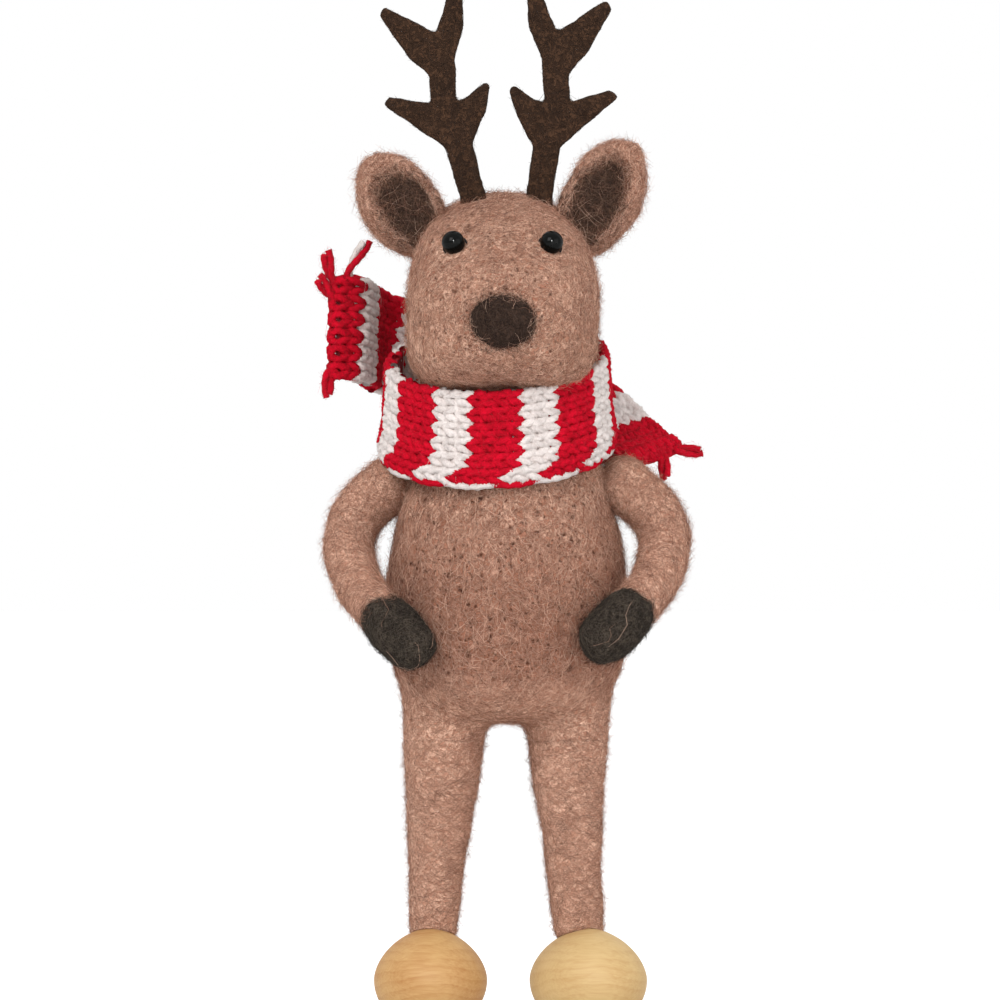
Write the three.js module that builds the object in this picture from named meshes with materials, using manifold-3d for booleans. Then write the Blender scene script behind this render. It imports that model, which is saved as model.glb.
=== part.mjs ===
// A needle-felted woollen reindeer that stands on two turned wooden feet and wears a knitted scarf.
// Millimetres, +Z up. The figure faces -Y, and left and right are its own, so its left side is +X.
// The origin is on the ground, under the middle of the figure's box.

import * as THREE from 'three';
import { mergeVertices } from 'three/addons/utils/BufferGeometryUtils.js';
import Module from 'manifold-3d';

const wasm = await Module();
wasm.setup();

// Stock and fits
const GAP = 0.3; // clearance between neighbouring pieces
const FELT = 3.2; // felted skin over the stuffing cores
const WIRE = 1.6; // diameter of the armature wire
const THREAD = 0.5; // diameter of the thread that holds a bead eye
const SLIVER = 0.02; // smallest detail that a joined surface keeps

// Wooden feet: turned eggs, cut flat underneath
const FOOT_WIDTH = 19.8;
const FOOT_LENGTH = 24;
const FOOT_HEIGHT = 13.7;
const FOOT_GIRTH_HEIGHT = 4.7; // height of the widest line above the sole
const FOOT_HOLE_DEPTH = 7;
const ANKLE_SETBACK = 2.5; // from the middle of the foot back to the wire hole
const TOE_OUT = { left: 24, right: 4 }; // degrees

// Legs: wool wound round a wire
const STANCE = 26.4; // between the ankles
const HIP_SPREAD = 20; // between the tops of the leg wires
const LEG_LENGTH = 36; // from the top of the foot to the crotch
const ANKLE_WIDTH = 8;
const THIGH_WIDTH = 16.6;
const THIGH_SWELL = 1.4; // power by which the leg widens upwards
const LEG_ROOT = 6; // leg above the crotch, before the torso cuts it
const LEG_WIRE_ROOT = 12; // leg wire above the crotch

// Torso: an egg of felt over a core
const BELLY_WIDTH = 42;
const BELLY_DEPTH = 38.6;
const BELLY_RISE = 21.3; // from the crotch to the widest line
const TORSO_HEIGHT = 60; // from the crotch to the top of the neck
const NECK_WIDTH = 22;
const NECK_SEAT = 7; // felt above the core, which the head sits in
const HIP_FULLNESS = 3; // superellipse power of the underside
const SHOULDER_SLOPE = 1.6; // power of the taper from belly to neck

// Head: a blunt egg that lies front to back, and droops and slims towards the muzzle
const HEAD_LENGTH = 39;
const HEAD_WIDTH = 35.4;
const HEAD_HEIGHT = 33.2;
const HEAD_SLIMMING = 3.8; // half height that the muzzle loses
const HEAD_DROOP = 3.8; // how far the muzzle's middle lies below the head's
const HEAD_RISE = 13.9; // from the top of the neck to the head's middle
const HEAD_FORWARD = 5.5; // from the neck's axis to the head's middle
const HEAD_SHIFT = 0.8; // towards its right
const HEAD_BLUNTNESS = 2.35; // superellipse power, front to back
const HEAD_SQUARENESS = 2.25; // superellipse power, across, above its middle
const JAW_SQUARENESS = 3.8; // the same below its middle
const SPINE_ROOT = 3; // spine wire's lower end above the shoulder wire

// Face. Places on the head: along from -1, the muzzle's tip, to 1, and around in degrees from its own side
const EYE_WIDTH = 4.1;
const EYE_SINK = 1.8; // depth of the dimple that the bead sits in
const EYE_PLACE = { along: -0.5, around: 61 };
const STITCH_REACH = 0.9; // thread beyond the bead's end
const STITCH_DEPTH = 2.2; // thread under the felt's surface
const NOSE_WIDTH = 11.2;
const NOSE_HEIGHT = 9.1;
const NOSE_DEPTH = 7.6;
const NOSE_STANDOUT = 3; // beyond the muzzle's tip

// Ears: felted leaves with a scooped front and a dark lining
const EAR_PLACE = { along: 0.32, around: 33 };
const EAR_LENGTH = { left: 22, right: 20 };
const EAR_WIDTH = 12.8;
const EAR_THICK = 6.2;
const EAR_BURIED = 3.4; // ear below the head's surface, before the head cuts it
const EAR_TILT = { left: 28, right: 36 }; // degrees out from upright
const EAR_TURN = 14; // degrees that the scoop faces outwards
const EAR_RIM = 1.8; // felt left round the scoop
const SCOOP_SHIFT = 0.9; // scoop's middle towards the head
const EAR_FLOOR = 2.4; // felt left behind the scoop
const LINING = 1.4; // thickness of the lining in the middle

// Antlers: cut from thick felt sheet. The outline runs outwards and up from the middle of the root
const ANTLER_THICK = 2.6;
const ANTLER_ROOT = 7; // tab inside the head
const ANTLER_PLACE = { left: { along: 0.3, around: 70.7 }, right: { along: 0.3, around: 75 } };
const ANTLER_LEAN = { left: -7, right: -1 }; // degrees outwards
const ANTLER_OUTLINE = [
  [2.3, 0], [4.8, 8.9], [15.9, 16.3], [14.8, 17.6], [7.4, 16.4], [7.8, 21.5],
  [11.6, 24.8], [16.6, 31.9], [15.8, 33.4], [6.6, 28.8], [5.6, 32], [4.5, 36.4],
  [2.2, 36.9], [1.9, 30], [3.4, 24.6], [3.1, 17], [1.3, 17.5], [-2, 20.4],
  [-2.8, 19.7], [-1.9, 15], [0.2, 9.6], [-2.2, 0],
];

// Arms: wool wound round a wire, which hooks over the wire across the shoulders
const SHOULDER_DROP = 18.5; // from the top of the neck to the shoulder wire
const SHOULDER_STANDOFF = 3.2; // from the torso's side out to the middle of the arm's root
const ARM_ROOT_WIDTH = 9.6;
const WRIST_WIDTH = 8;
const ARM_TUCK = 6.6; // width of the arm's end inside the hoof
const SOCKET_GAP = 0.3; // round the arm's root
const HOOK = 1.9; // radius of the wire's eye, to the middle of the wire
const SHOULDER_WIRE_END = 2.2; // wire past the middle of the arm's root
const ARM_DROP = 29.4; // from the shoulder wire down to the arm's end
const ARM_STANDOFF = 8; // from the torso out to the middle of the arm, at its most
// Shares of the drop and of the standoff, and the turn from the side to the front in degrees
const ARM_STATIONS = [
  { drop: 0.173, turn: 2, standoff: 0.9 },
  { drop: 0.383, turn: 6, standoff: 1 },
  { drop: 0.617, turn: 20, standoff: 0.82 },
  { drop: 0.807, turn: 38, standoff: 0.77 },
  { drop: 1, turn: 53, standoff: 0.72 },
];

// Hooves: dark wool over the arms' ends
const HOOF_WIDTH = 9.4;
const HOOF_LENGTH = 15.2;
const HOOF_END = 2.4; // hoof beyond the end of the arm
const HOOF_BLUNTNESS = 2.6;

// Scarf: one knitted strip round the neck, tied at the nape, with a rolled lower edge
const SCARF_WIDTH = 16.5;
const SCARF_THICK = 2.6;
const SCARF_ROLL = 0.6; // what the rolled edge adds to each face
const SCARF_ROLL_HEIGHT = 2.2; // middle of the roll above the lower edge
const SCARF_DROP = 4.2; // from the top of the neck to the band's middle at the sides
const SCARF_TILT = 19; // degrees, lower in front
const SCARF_CANT = 3; // degrees, lower on its right
const SCARF_SHIFT = 1.7; // towards its right
const SCARF_HUG = 0.8; // how far the band closes in on the slope over the shoulders
const SCARF_LEAN = 3; // degrees that the band leans in at the top
const KNOT_WIDTH = 12;
const KNOT_HEIGHT = 14;
const KNOT_DEPTH = 8;
const KNOT_DROP = 2; // knot's middle below the band's
const TAIL_THICK = 2.4;
const TAIL_FLARE = 1.12; // width of a tail's end over the strip's
const TAIL_REACH = { left: 27, right: 28.2 }; // from the knot out to the tail's end
// Shares of the reach, outwards, back and up from the knot, and the strip's twist in degrees from upright
const TAIL_STATIONS = {
  left: [
    { out: 0.07, back: 0, up: 0, twist: 0 },
    { out: 0.31, back: -0.03, up: 0.05, twist: -25 },
    { out: 0.56, back: -0.13, up: -0.02, twist: -62 },
    { out: 0.77, back: -0.27, up: -0.27, twist: -74 },
    { out: 0.9, back: -0.35, up: -0.4, twist: -78 },
    { out: 1, back: -0.4, up: -0.48, twist: -80 },
  ],
  right: [
    { out: 0.07, back: 0, up: 0, twist: 0 },
    { out: 0.34, back: 0.08, up: 0.09, twist: 0 },
    { out: 0.58, back: 0.07, up: 0.19, twist: 0 },
    { out: 0.75, back: -0.03, up: 0.25, twist: 0 },
    { out: 0.82, back: -0.19, up: 0.29, twist: 0 },
    { out: 0.88, back: -0.34, up: 0.32, twist: 0 },
    { out: 1, back: -0.41, up: 0.325, twist: 0 },
  ],
};

// Fringe: yarn ends knotted into the corners of the tails
const STRAND = 1.8;
const STRAND_LENGTH = 5.2;
const STRAND_ROOT = 1.2; // straight start, square to the scarf
const STRAND_INSET = 2.3; // from a tail's end to a strand in its upper edge
// across is a share of the half width; lay is in shares of the strand, outwards, back and up
const STRANDS = [
  { tail: 'right', inEdge: false, across: 0.92, lay: [0.19, -0.19, 0.96] },
  { tail: 'right', inEdge: false, across: 0.6, lay: [0.44, -0.31, 0.66] },
  { tail: 'right', inEdge: true, across: 1, lay: [-0.62, 0.1, 0.98] },
  { tail: 'right', inEdge: false, across: -0.84, lay: [0.06, -0.15, -0.85] },
  { tail: 'left', inEdge: false, across: 0.78, lay: [0.9, 0.1, -0.1] },
  { tail: 'left', inEdge: false, across: -0.3, lay: [0.15, 0.1, -0.55] },
];

// Smoothness
const TURN_SIDES = 26; // round the torso
const CORE_SIDES = 14; // round a hidden core
const LIMB_SIDES = 13;
const WIRE_SIDES = 8;
const WIRE_STEPS = 11; // along an arm's wire

// Heights and places that follow from the sizes
const CROTCH = FOOT_HEIGHT + LEG_LENGTH;
const BELLY = CROTCH + BELLY_RISE;
const NECK = CROTCH + TORSO_HEIGHT;
const SHOULDER = NECK - SHOULDER_DROP;
const HEAD_MIDDLE = new THREE.Vector3(-HEAD_SHIFT, -HEAD_FORWARD, NECK + HEAD_RISE);
const DEPTH_RATIO = BELLY_DEPTH / BELLY_WIDTH;

const SIDES = { left: 1, right: -1 };
const UP = new THREE.Vector3(0, 0, 1);
const ACROSS = new THREE.Vector3(1, 0, 0);
const radians = THREE.MathUtils.degToRad;
const lerp = THREE.MathUtils.lerp;
const vector = (x, y, z) => new THREE.Vector3(x, y, z);
const signedPower = (value, power) => Math.sign(value) * Math.abs(value) ** power;

// Finishes
const finish = (color, roughness, metalness = 0) =>
  new THREE.MeshStandardMaterial({ color, roughness, metalness });
const BROWN_WOOL = finish(0xa67c68, 1);
const DARK_WOOL = finish(0x3d342d, 1);
const LINING_WOOL = finish(0x4a352b, 1);
const NOSE_WOOL = finish(0x33261f, 1);
const ANTLER_FELT = finish(0x45301f, 0.95);
const BEECH = finish(0xd9b27f, 0.5);
const KNIT = finish(0xc40c25, 0.95);
const GLASS = finish(0x0d0f10, 0.08);
const STEEL = finish(0x8c8f92, 0.35, 1);
const COTTON = finish(0x16130f, 0.9);
const FOAM = finish(0xece8df, 0.9);

// Solids from three.js geometry and back

function solidFrom(geometry) {
  const bare = new THREE.BufferGeometry();
  bare.setAttribute('position', geometry.getAttribute('position'));
  bare.setIndex(geometry.index);
  const merged = mergeVertices(bare, 1e-4);
  const triangles = [];
  for (let i = 0; i < merged.index.count; i += 3) {
    const [a, b, c] = merged.index.array.slice(i, i + 3);
    if (a !== b && b !== c && c !== a) triangles.push([a, b, c]);
  }
  const build = (faces) => new wasm.Manifold(new wasm.Mesh({
    numProp: 3,
    vertProperties: new Float32Array(merged.attributes.position.array),
    triVerts: new Uint32Array(faces.flat()),
  }));
  const solid = build(triangles);
  return solid.volume() > 0 ? solid : build(triangles.map((face) => face.reverse()));
}

function geometryFrom(solid) {
  const mesh = solid.getMesh();
  const geometry = new THREE.BufferGeometry();
  geometry.setAttribute('position', new THREE.BufferAttribute(mesh.vertProperties, 3));
  geometry.setIndex(new THREE.BufferAttribute(mesh.triVerts, 1));
  geometry.computeVertexNormals();
  return geometry;
}

const cut = (solid, ...tools) => tools.reduce((left, tool) => left.subtract(tool), solid);
const join = (solid, ...others) => others.reduce((all, other) => all.add(other), solid);

// A skin over rings of points. A ring of one point is a pole, and open ends are capped with a fan.
function loft(rings, closed = false) {
  const positions = rings.flat().flatMap((point) => point.toArray());
  const starts = rings.map((_, i) => rings.slice(0, i).reduce((sum, ring) => sum + ring.length, 0));
  const faces = [];
  const bridge = (i, j) => {
    const sides = Math.max(rings[i].length, rings[j].length);
    const at = (ring, side) => starts[ring] + (side % rings[ring].length);
    for (let side = 0; side < sides; side++) {
      const [a, b] = [at(i, side), at(i, side + 1)];
      const [c, d] = [at(j, side), at(j, side + 1)];
      if (a !== b) faces.push(a, b, c);
      if (c !== d) faces.push(b, d, c);
    }
  };
  const cap = (i, turned) => {
    const ring = rings[i];
    if (ring.length === 1) return;
    const middle = ring.reduce((sum, point) => sum.add(point), vector(0, 0, 0));
    const centre = positions.length / 3;
    positions.push(...middle.divideScalar(ring.length).toArray());
    ring.forEach((_, side) => {
      const [a, b] = [starts[i] + side, starts[i] + ((side + 1) % ring.length)];
      faces.push(...(turned ? [b, a, centre] : [a, b, centre]));
    });
  };
  for (let i = 0; i + 1 < rings.length; i++) bridge(i, i + 1);
  if (closed) {
    bridge(rings.length - 1, 0);
  } else {
    cap(0, true);
    cap(rings.length - 1, false);
  }
  const geometry = new THREE.BufferGeometry();
  geometry.setAttribute('position', new THREE.Float32BufferAttribute(positions, 3));
  geometry.setIndex(faces);
  return solidFrom(geometry);
}

// A round limb along a curve, whose radius is a function of the share of its length.
function limb(curve, radiusAt, steps, sides = LIMB_SIDES) {
  const frames = curve.computeFrenetFrames(steps, false);
  const rings = [];
  for (let i = 0; i <= steps; i++) {
    const middle = curve.getPointAt(i / steps);
    const radius = radiusAt(i / steps);
    const ring = [];
    for (let side = 0; side < sides; side++) {
      const angle = (2 * Math.PI * side) / sides;
      ring.push(middle.clone()
        .addScaledVector(frames.normals[i], radius * Math.cos(angle))
        .addScaledVector(frames.binormals[i], radius * Math.sin(angle)));
    }
    rings.push(radius > 0 ? ring : [middle]);
  }
  return loft(rings);
}

function disc(diameter, sides) {
  const shape = new THREE.Shape();
  for (let side = 0; side < sides; side++) {
    const angle = (2 * Math.PI * side) / sides;
    const point = [(diameter / 2) * Math.cos(angle), (diameter / 2) * Math.sin(angle)];
    if (side === 0) shape.moveTo(...point);
    else shape.lineTo(...point);
  }
  return shape.closePath();
}

// A wire or a bore along a curve.
function rod(curve, diameter, steps = 1) {
  const options = { extrudePath: curve, steps, bevelEnabled: false };
  return solidFrom(new THREE.ExtrudeGeometry(disc(diameter, WIRE_SIDES), options));
}

function straight(from, to, diameter, overrun = 0) {
  const reach = to.clone().sub(from).setLength(overrun);
  return rod(new THREE.LineCurve3(from.clone().sub(reach), to.clone().add(reach)), diameter);
}

const boreFor = ([from, to]) => straight(from, to, WIRE + 2 * GAP, GAP);

function ellipsoid(width, depth, height, middle, sides = 16) {
  const ball = new THREE.SphereGeometry(0.5, sides, Math.round(sides * 0.625));
  return solidFrom(ball.scale(width, depth, height).translate(...middle.toArray()));
}

// Main soft forms. grow moves the whole surface out, or in where it is negative.

function torsoRadius(height) {
  const belly = BELLY_WIDTH / 2;
  if (height < BELLY) {
    const drop = Math.min((BELLY - height) / BELLY_RISE, 1);
    return belly * (1 - drop ** HIP_FULLNESS) ** (1 / HIP_FULLNESS);
  }
  const rise = (height - BELLY) / (NECK - BELLY);
  return belly - (belly - NECK_WIDTH / 2) * rise ** SHOULDER_SLOPE;
}

function torsoForm(grow, rings, sides, top = NECK) {
  const profile = [new THREE.Vector2(0, CROTCH - grow)];
  for (let i = 1; i <= rings; i++) {
    const share = (1 - Math.cos((Math.PI * i) / rings)) / 2;
    const height = lerp(CROTCH, top, share);
    profile.push(new THREE.Vector2(torsoRadius(height) + grow, height + grow * (2 * share - 1)));
  }
  profile.push(new THREE.Vector2(0, top + grow));
  const turned = new THREE.LatheGeometry(profile, sides);
  return solidFrom(turned.rotateX(Math.PI / 2).scale(1, DEPTH_RATIO, 1));
}

// A point of the head's skin, around in radians from +X over the top.
function headPoint(along, around, grow = 0) {
  const swell = (1 - Math.abs(along) ** HEAD_BLUNTNESS) ** (1 / HEAD_BLUNTNESS);
  const halfWidth = (HEAD_WIDTH / 2 + grow) * swell;
  const halfHeight = (HEAD_HEIGHT / 2 + HEAD_SLIMMING * along + grow) * swell;
  const power = 2 / (Math.sin(around) < 0 ? JAW_SQUARENESS : HEAD_SQUARENESS);
  return vector(
    halfWidth * signedPower(Math.cos(around), power),
    (HEAD_LENGTH / 2 + grow) * along,
    HEAD_DROOP * along + halfHeight * signedPower(Math.sin(around), power),
  ).add(HEAD_MIDDLE);
}

function headForm(grow, rings, sides) {
  const skin = [];
  for (let i = 0; i <= rings; i++) {
    const along = Math.cos((Math.PI * i) / rings);
    const poles = i === 0 || i === rings;
    const ring = [];
    for (let side = 0; side < (poles ? 1 : sides); side++) {
      ring.push(headPoint(poles ? Math.sign(along) : along, (2 * Math.PI * side) / sides, grow));
    }
    skin.push(ring);
  }
  return loft(skin);
}

// The head's skin at a place on one side: the point, the way out and the way round.
function headPlace(place, side) {
  const around = side > 0 ? radians(place.around) : Math.PI - radians(place.around);
  const at = headPoint(place.along, around);
  const step = 0.01;
  const round = headPoint(place.along, around + step).sub(at).normalize();
  const front = headPoint(place.along - step, around).sub(at).normalize();
  const out = front.clone().cross(round).normalize();
  if (out.dot(at.clone().sub(HEAD_MIDDLE)) < 0) out.negate();
  return { at, out, round };
}

// Wires

const SPINE_WIRE = [vector(0, 0, SHOULDER + SPINE_ROOT), vector(0, 0, HEAD_MIDDLE.z)];

function legWire(side) {
  return [
    vector((side * STANCE) / 2, 0, FOOT_HEIGHT - FOOT_HOLE_DEPTH),
    vector((side * HIP_SPREAD) / 2, 0, CROTCH + LEG_WIRE_ROOT),
  ];
}

const shoulderPoint = (side) => vector(side * (torsoRadius(SHOULDER) + SHOULDER_STANDOFF), 0, SHOULDER);

const SHOULDER_WIRE = [-1, 1].map((side) =>
  shoulderPoint(side).addScaledVector(ACROSS, side * SHOULDER_WIRE_END));

// Feet

function footForm(side, toeOut, grow = 0) {
  const radius = FOOT_WIDTH / 2 + grow;
  const crown = FOOT_HEIGHT - FOOT_GIRTH_HEIGHT + grow;
  const sole = -Math.asin(FOOT_GIRTH_HEIGHT / crown);
  const steps = 9;
  const profile = [new THREE.Vector2(0, 0)];
  for (let i = 0; i < steps; i++) {
    const angle = lerp(sole, Math.PI / 2, i / steps);
    profile.push(new THREE.Vector2(radius * Math.cos(angle), FOOT_GIRTH_HEIGHT + crown * Math.sin(angle)));
  }
  profile.push(new THREE.Vector2(0, FOOT_GIRTH_HEIGHT + crown));
  const turned = new THREE.LatheGeometry(profile, 24).rotateX(Math.PI / 2);
  turned.scale(1, FOOT_LENGTH / FOOT_WIDTH, 1).translate(0, -ANKLE_SETBACK, 0);
  return solidFrom(turned.rotateZ(side * radians(toeOut)).translate((side * STANCE) / 2, 0, 0));
}

function makeFeet(add) {
  for (const [name, side] of Object.entries(SIDES)) {
    const egg = footForm(side, TOE_OUT[name]);
    add(`foot_${name}`, BEECH, cut(egg, boreFor(legWire(side))));
  }
}

// Legs

function makeLegs(add, torsoClear) {
  for (const [name, side] of Object.entries(SIDES)) {
    const wire = legWire(side);
    const line = new THREE.Line3(...wire);
    const pointAt = (height) => line.at((height - wire[0].z) / (wire[1].z - wire[0].z), vector(0, 0, 0));
    const axis = new THREE.LineCurve3(pointAt(FOOT_HEIGHT - FOOT_HOLE_DEPTH / 2), pointAt(CROTCH + LEG_ROOT));
    const radiusAt = (share) => lerp(ANKLE_WIDTH, THIGH_WIDTH, share ** THIGH_SWELL) / 2;
    const sleeve = limb(axis, radiusAt, 8);
    const footClear = footForm(side, TOE_OUT[name], GAP);
    add(`leg_${name}`, BROWN_WOOL, cut(sleeve, footClear, torsoClear, boreFor(wire)));
    add(`leg_wire_${name}`, STEEL, straight(...wire, WIRE));
  }
}

// Arms and hooves

function armCurve(side) {
  const stations = ARM_STATIONS.map(({ drop, turn, standoff }) => {
    const height = SHOULDER - ARM_DROP * drop;
    const radius = torsoRadius(height) + ARM_STANDOFF * standoff;
    const angle = radians(turn);
    return vector(side * radius * Math.cos(angle), -radius * DEPTH_RATIO * Math.sin(angle), height);
  });
  return new THREE.CatmullRomCurve3([shoulderPoint(side), ...stations]);
}

// The stretch of a curve between two lengths from its start, carried on straight past its end.
function stretch(curve, from, to, steps) {
  const length = curve.getLength();
  const points = [];
  for (let i = 0; i <= steps; i++) {
    const run = lerp(from, to, i / steps);
    const point = curve.getPointAt(Math.min(run / length, 1));
    points.push(point.addScaledVector(curve.getTangentAt(1), Math.max(run - length, 0)));
  }
  return new THREE.CatmullRomCurve3(points);
}

function armSleeve(curve, grow) {
  const length = curve.getLength();
  const hoofStart = (length + HOOF_END - HOOF_LENGTH) / length;
  const radiusAt = (share) => {
    const bare = lerp(ARM_ROOT_WIDTH, WRIST_WIDTH, Math.min(share / hoofStart, 1));
    const tucked = THREE.MathUtils.smoothstep(share, hoofStart, 1);
    return lerp(bare, ARM_TUCK, tucked) / 2 + grow;
  };
  return limb(stretch(curve, 0, length + grow, 12), radiusAt, 13);
}

// The arm's wire starts as an eye round the shoulder wire and runs down the middle of the sleeve.
function armWirePath(curve, side) {
  const eye = shoulderPoint(side).addScaledVector(UP, -HOOK);
  const runs = [0.16, 0.3, 0.45, 0.6, 0.75, 0.88, 1];
  const end = (curve.getLength() - WIRE) / curve.getLength();
  return new THREE.CatmullRomCurve3([eye, ...runs.map((share) => curve.getPointAt(share * end))]);
}

function makeArms(add) {
  for (const [name, side] of Object.entries(SIDES)) {
    const curve = armCurve(side);
    const length = curve.getLength();
    const root = shoulderPoint(side);
    const ball = ellipsoid(ARM_ROOT_WIDTH, ARM_ROOT_WIDTH, ARM_ROOT_WIDTH, root);
    const path = armWirePath(curve, side);
    const hook = new THREE.TorusGeometry(HOOK, WIRE / 2, WIRE_SIDES, 14).rotateY(Math.PI / 2);
    const pocketEnds = [-1, 1].map((end) => root.clone().addScaledVector(ACROSS, end * (WIRE / 2 + GAP)));
    const pocket = straight(...pocketEnds, 2 * (HOOK + WIRE / 2 + GAP));
    const channel = rod(path, WIRE + 2 * GAP, WIRE_STEPS);
    const mouthEnds = [path.getPointAt(1), stretch(curve, length, length + WIRE, 1).getPointAt(1)];
    const mouth = straight(...mouthEnds, WIRE + 2 * GAP, GAP);
    const sleeve = join(armSleeve(curve, 0), ball);
    add(`arm_${name}`, BROWN_WOOL, cut(sleeve, pocket, channel, mouth, boreFor(SHOULDER_WIRE)));
    const eye = solidFrom(hook.translate(...root.toArray()));
    add(`arm_wire_${name}`, STEEL, join(rod(path, WIRE, WIRE_STEPS), eye));

    const hoofAxis = stretch(curve, length + HOOF_END - HOOF_LENGTH, length + HOOF_END, 8);
    const hoofRadius = (share) =>
      (HOOF_WIDTH / 2) * Math.max(1 - Math.abs(2 * share - 1) ** HOOF_BLUNTNESS, 0) ** (1 / HOOF_BLUNTNESS);
    add(`hoof_${name}`, DARK_WOOL, cut(limb(hoofAxis, hoofRadius, 10), armSleeve(curve, GAP)));
  }
}

// Torso

function makeTorso(add, headClear) {
  const sockets = Object.values(SIDES).map((side) => {
    const width = ARM_ROOT_WIDTH + 2 * SOCKET_GAP;
    return ellipsoid(width, width, width, shoulderPoint(side));
  });
  const bores = [SPINE_WIRE, SHOULDER_WIRE, legWire(1), legWire(-1)].map(boreFor);
  const coreTop = NECK - NECK_SEAT;
  const cavity = torsoForm(-FELT, 9, CORE_SIDES, coreTop + FELT);
  const core = torsoForm(-FELT - GAP, 9, CORE_SIDES, coreTop + FELT);
  add('torso_felt', BROWN_WOOL, cut(torsoForm(0, 15, TURN_SIDES), cavity, headClear, ...sockets, ...bores));
  add('torso_core', FOAM, cut(core, ...bores));
  add('spine_wire', STEEL, straight(...SPINE_WIRE, WIRE));
  add('shoulder_wire', STEEL, straight(...SHOULDER_WIRE, WIRE));
}

// Antlers

function antlerFrame(name) {
  const { at } = headPlace(ANTLER_PLACE[name], SIDES[name]);
  return new THREE.Matrix4().makeRotationY(SIDES[name] * radians(ANTLER_LEAN[name])).setPosition(at);
}

// An outline in the antler's own plane, as a slab of the given thickness.
function slab(outline, thickness, side, frame) {
  const shape = new THREE.Shape(outline.map(([out, up]) => new THREE.Vector2(side * out, up)));
  const sheet = new THREE.ExtrudeGeometry(shape, { depth: thickness, bevelEnabled: false });
  return solidFrom(sheet.translate(0, 0, -thickness / 2).rotateX(Math.PI / 2).applyMatrix4(frame));
}

function antlerRoot(grow) {
  const [outer, inner] = [ANTLER_OUTLINE[0][0] + grow, ANTLER_OUTLINE.at(-1)[0] - grow];
  return [[inner, -ANTLER_ROOT - grow], [outer, -ANTLER_ROOT - grow]];
}

function antlerSlot(name) {
  const [[inner], [outer]] = antlerRoot(GAP);
  const mouth = [[outer, ANTLER_ROOT], [inner, ANTLER_ROOT]];
  return slab([...antlerRoot(GAP), ...mouth], ANTLER_THICK + 2 * GAP, SIDES[name], antlerFrame(name));
}

function makeAntlers(add) {
  for (const [name, side] of Object.entries(SIDES)) {
    const outline = [...antlerRoot(0), ...ANTLER_OUTLINE];
    add(`antler_${name}`, ANTLER_FELT, slab(outline, ANTLER_THICK, side, antlerFrame(name)));
  }
}

// Eyes

function eyeFrame(side) {
  const { at, out, round } = headPlace(EYE_PLACE, side);
  const middle = at.clone().addScaledVector(out, EYE_WIDTH / 2 - EYE_SINK);
  const frame = new THREE.Matrix4().makeBasis(round, out.clone().cross(round), out);
  return frame.setPosition(middle);
}

function beadForm() {
  const radius = EYE_WIDTH / 2;
  const bore = THREAD / 2 + GAP;
  const edge = Math.acos(bore / radius);
  const steps = 10;
  const profile = [];
  for (let i = 0; i <= steps; i++) {
    const angle = lerp(-edge, edge, i / steps);
    profile.push(new THREE.Vector2(radius * Math.cos(angle), radius * Math.sin(angle)));
  }
  profile.push(profile[0].clone());
  return new THREE.LatheGeometry(profile, 16).rotateZ(-Math.PI / 2);
}

// The stitch that holds a bead: out of the felt, through the bore and back into the felt.
function stitchPath(frame) {
  const reach = EYE_WIDTH / 2 + STITCH_REACH;
  const surface = EYE_SINK - EYE_WIDTH / 2;
  const ends = [[-reach, surface - STITCH_DEPTH], [-reach, surface], [-EYE_WIDTH / 2, 0]];
  const points = [...ends, ...ends.map(([run, rise]) => [-run, rise]).reverse()];
  return new THREE.CatmullRomCurve3(points.map(([run, rise]) => vector(run, 0, rise).applyMatrix4(frame)));
}

function makeEyes(add) {
  for (const [name, side] of Object.entries(SIDES)) {
    const frame = eyeFrame(side);
    add(`eye_${name}`, GLASS, solidFrom(beadForm().applyMatrix4(frame)));
    add(`eye_thread_${name}`, COTTON, rod(stitchPath(frame), THREAD, 12));
  }
}

// Head and nose

function makeHead(add, headClear) {
  const sides = Object.entries(SIDES);
  const slots = sides.map(([name]) => antlerSlot(name));
  const dimples = sides.map(([, side]) => {
    const width = EYE_WIDTH + 2 * GAP;
    return ellipsoid(width, width, width, vector(0, 0, 0).applyMatrix4(eyeFrame(side)), 12);
  });
  const stitches = sides.map(([, side]) => rod(stitchPath(eyeFrame(side)), THREAD + 2 * GAP, 12));
  const bore = boreFor(SPINE_WIRE);
  const cavity = headForm(-FELT, 10, CORE_SIDES);
  const skin = cut(headForm(0, 16, TURN_SIDES), cavity, ...slots, ...dimples, ...stitches, bore);
  add('head_felt', BROWN_WOOL, skin);
  add('head_core', FOAM, cut(headForm(-FELT - GAP, 10, CORE_SIDES), ...slots, bore));

  const tip = headPoint(-1, 0);
  const noseMiddle = tip.clone().setY(tip.y - NOSE_STANDOUT + NOSE_DEPTH / 2);
  add('nose', NOSE_WOOL, cut(ellipsoid(NOSE_WIDTH, NOSE_DEPTH, NOSE_HEIGHT, noseMiddle), headClear));
}

// Ears

function earFrame(name, side) {
  const { at } = headPlace(EAR_PLACE, side);
  const turn = new THREE.Matrix4().makeRotationZ(side * radians(EAR_TURN));
  const tilt = new THREE.Matrix4().makeRotationY(side * radians(EAR_TILT[name]));
  const rise = new THREE.Matrix4().makeTranslation(0, 0, EAR_LENGTH[name] / 2 - EAR_BURIED);
  return new THREE.Matrix4().setPosition(at).multiply(tilt).multiply(turn).multiply(rise);
}

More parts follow.
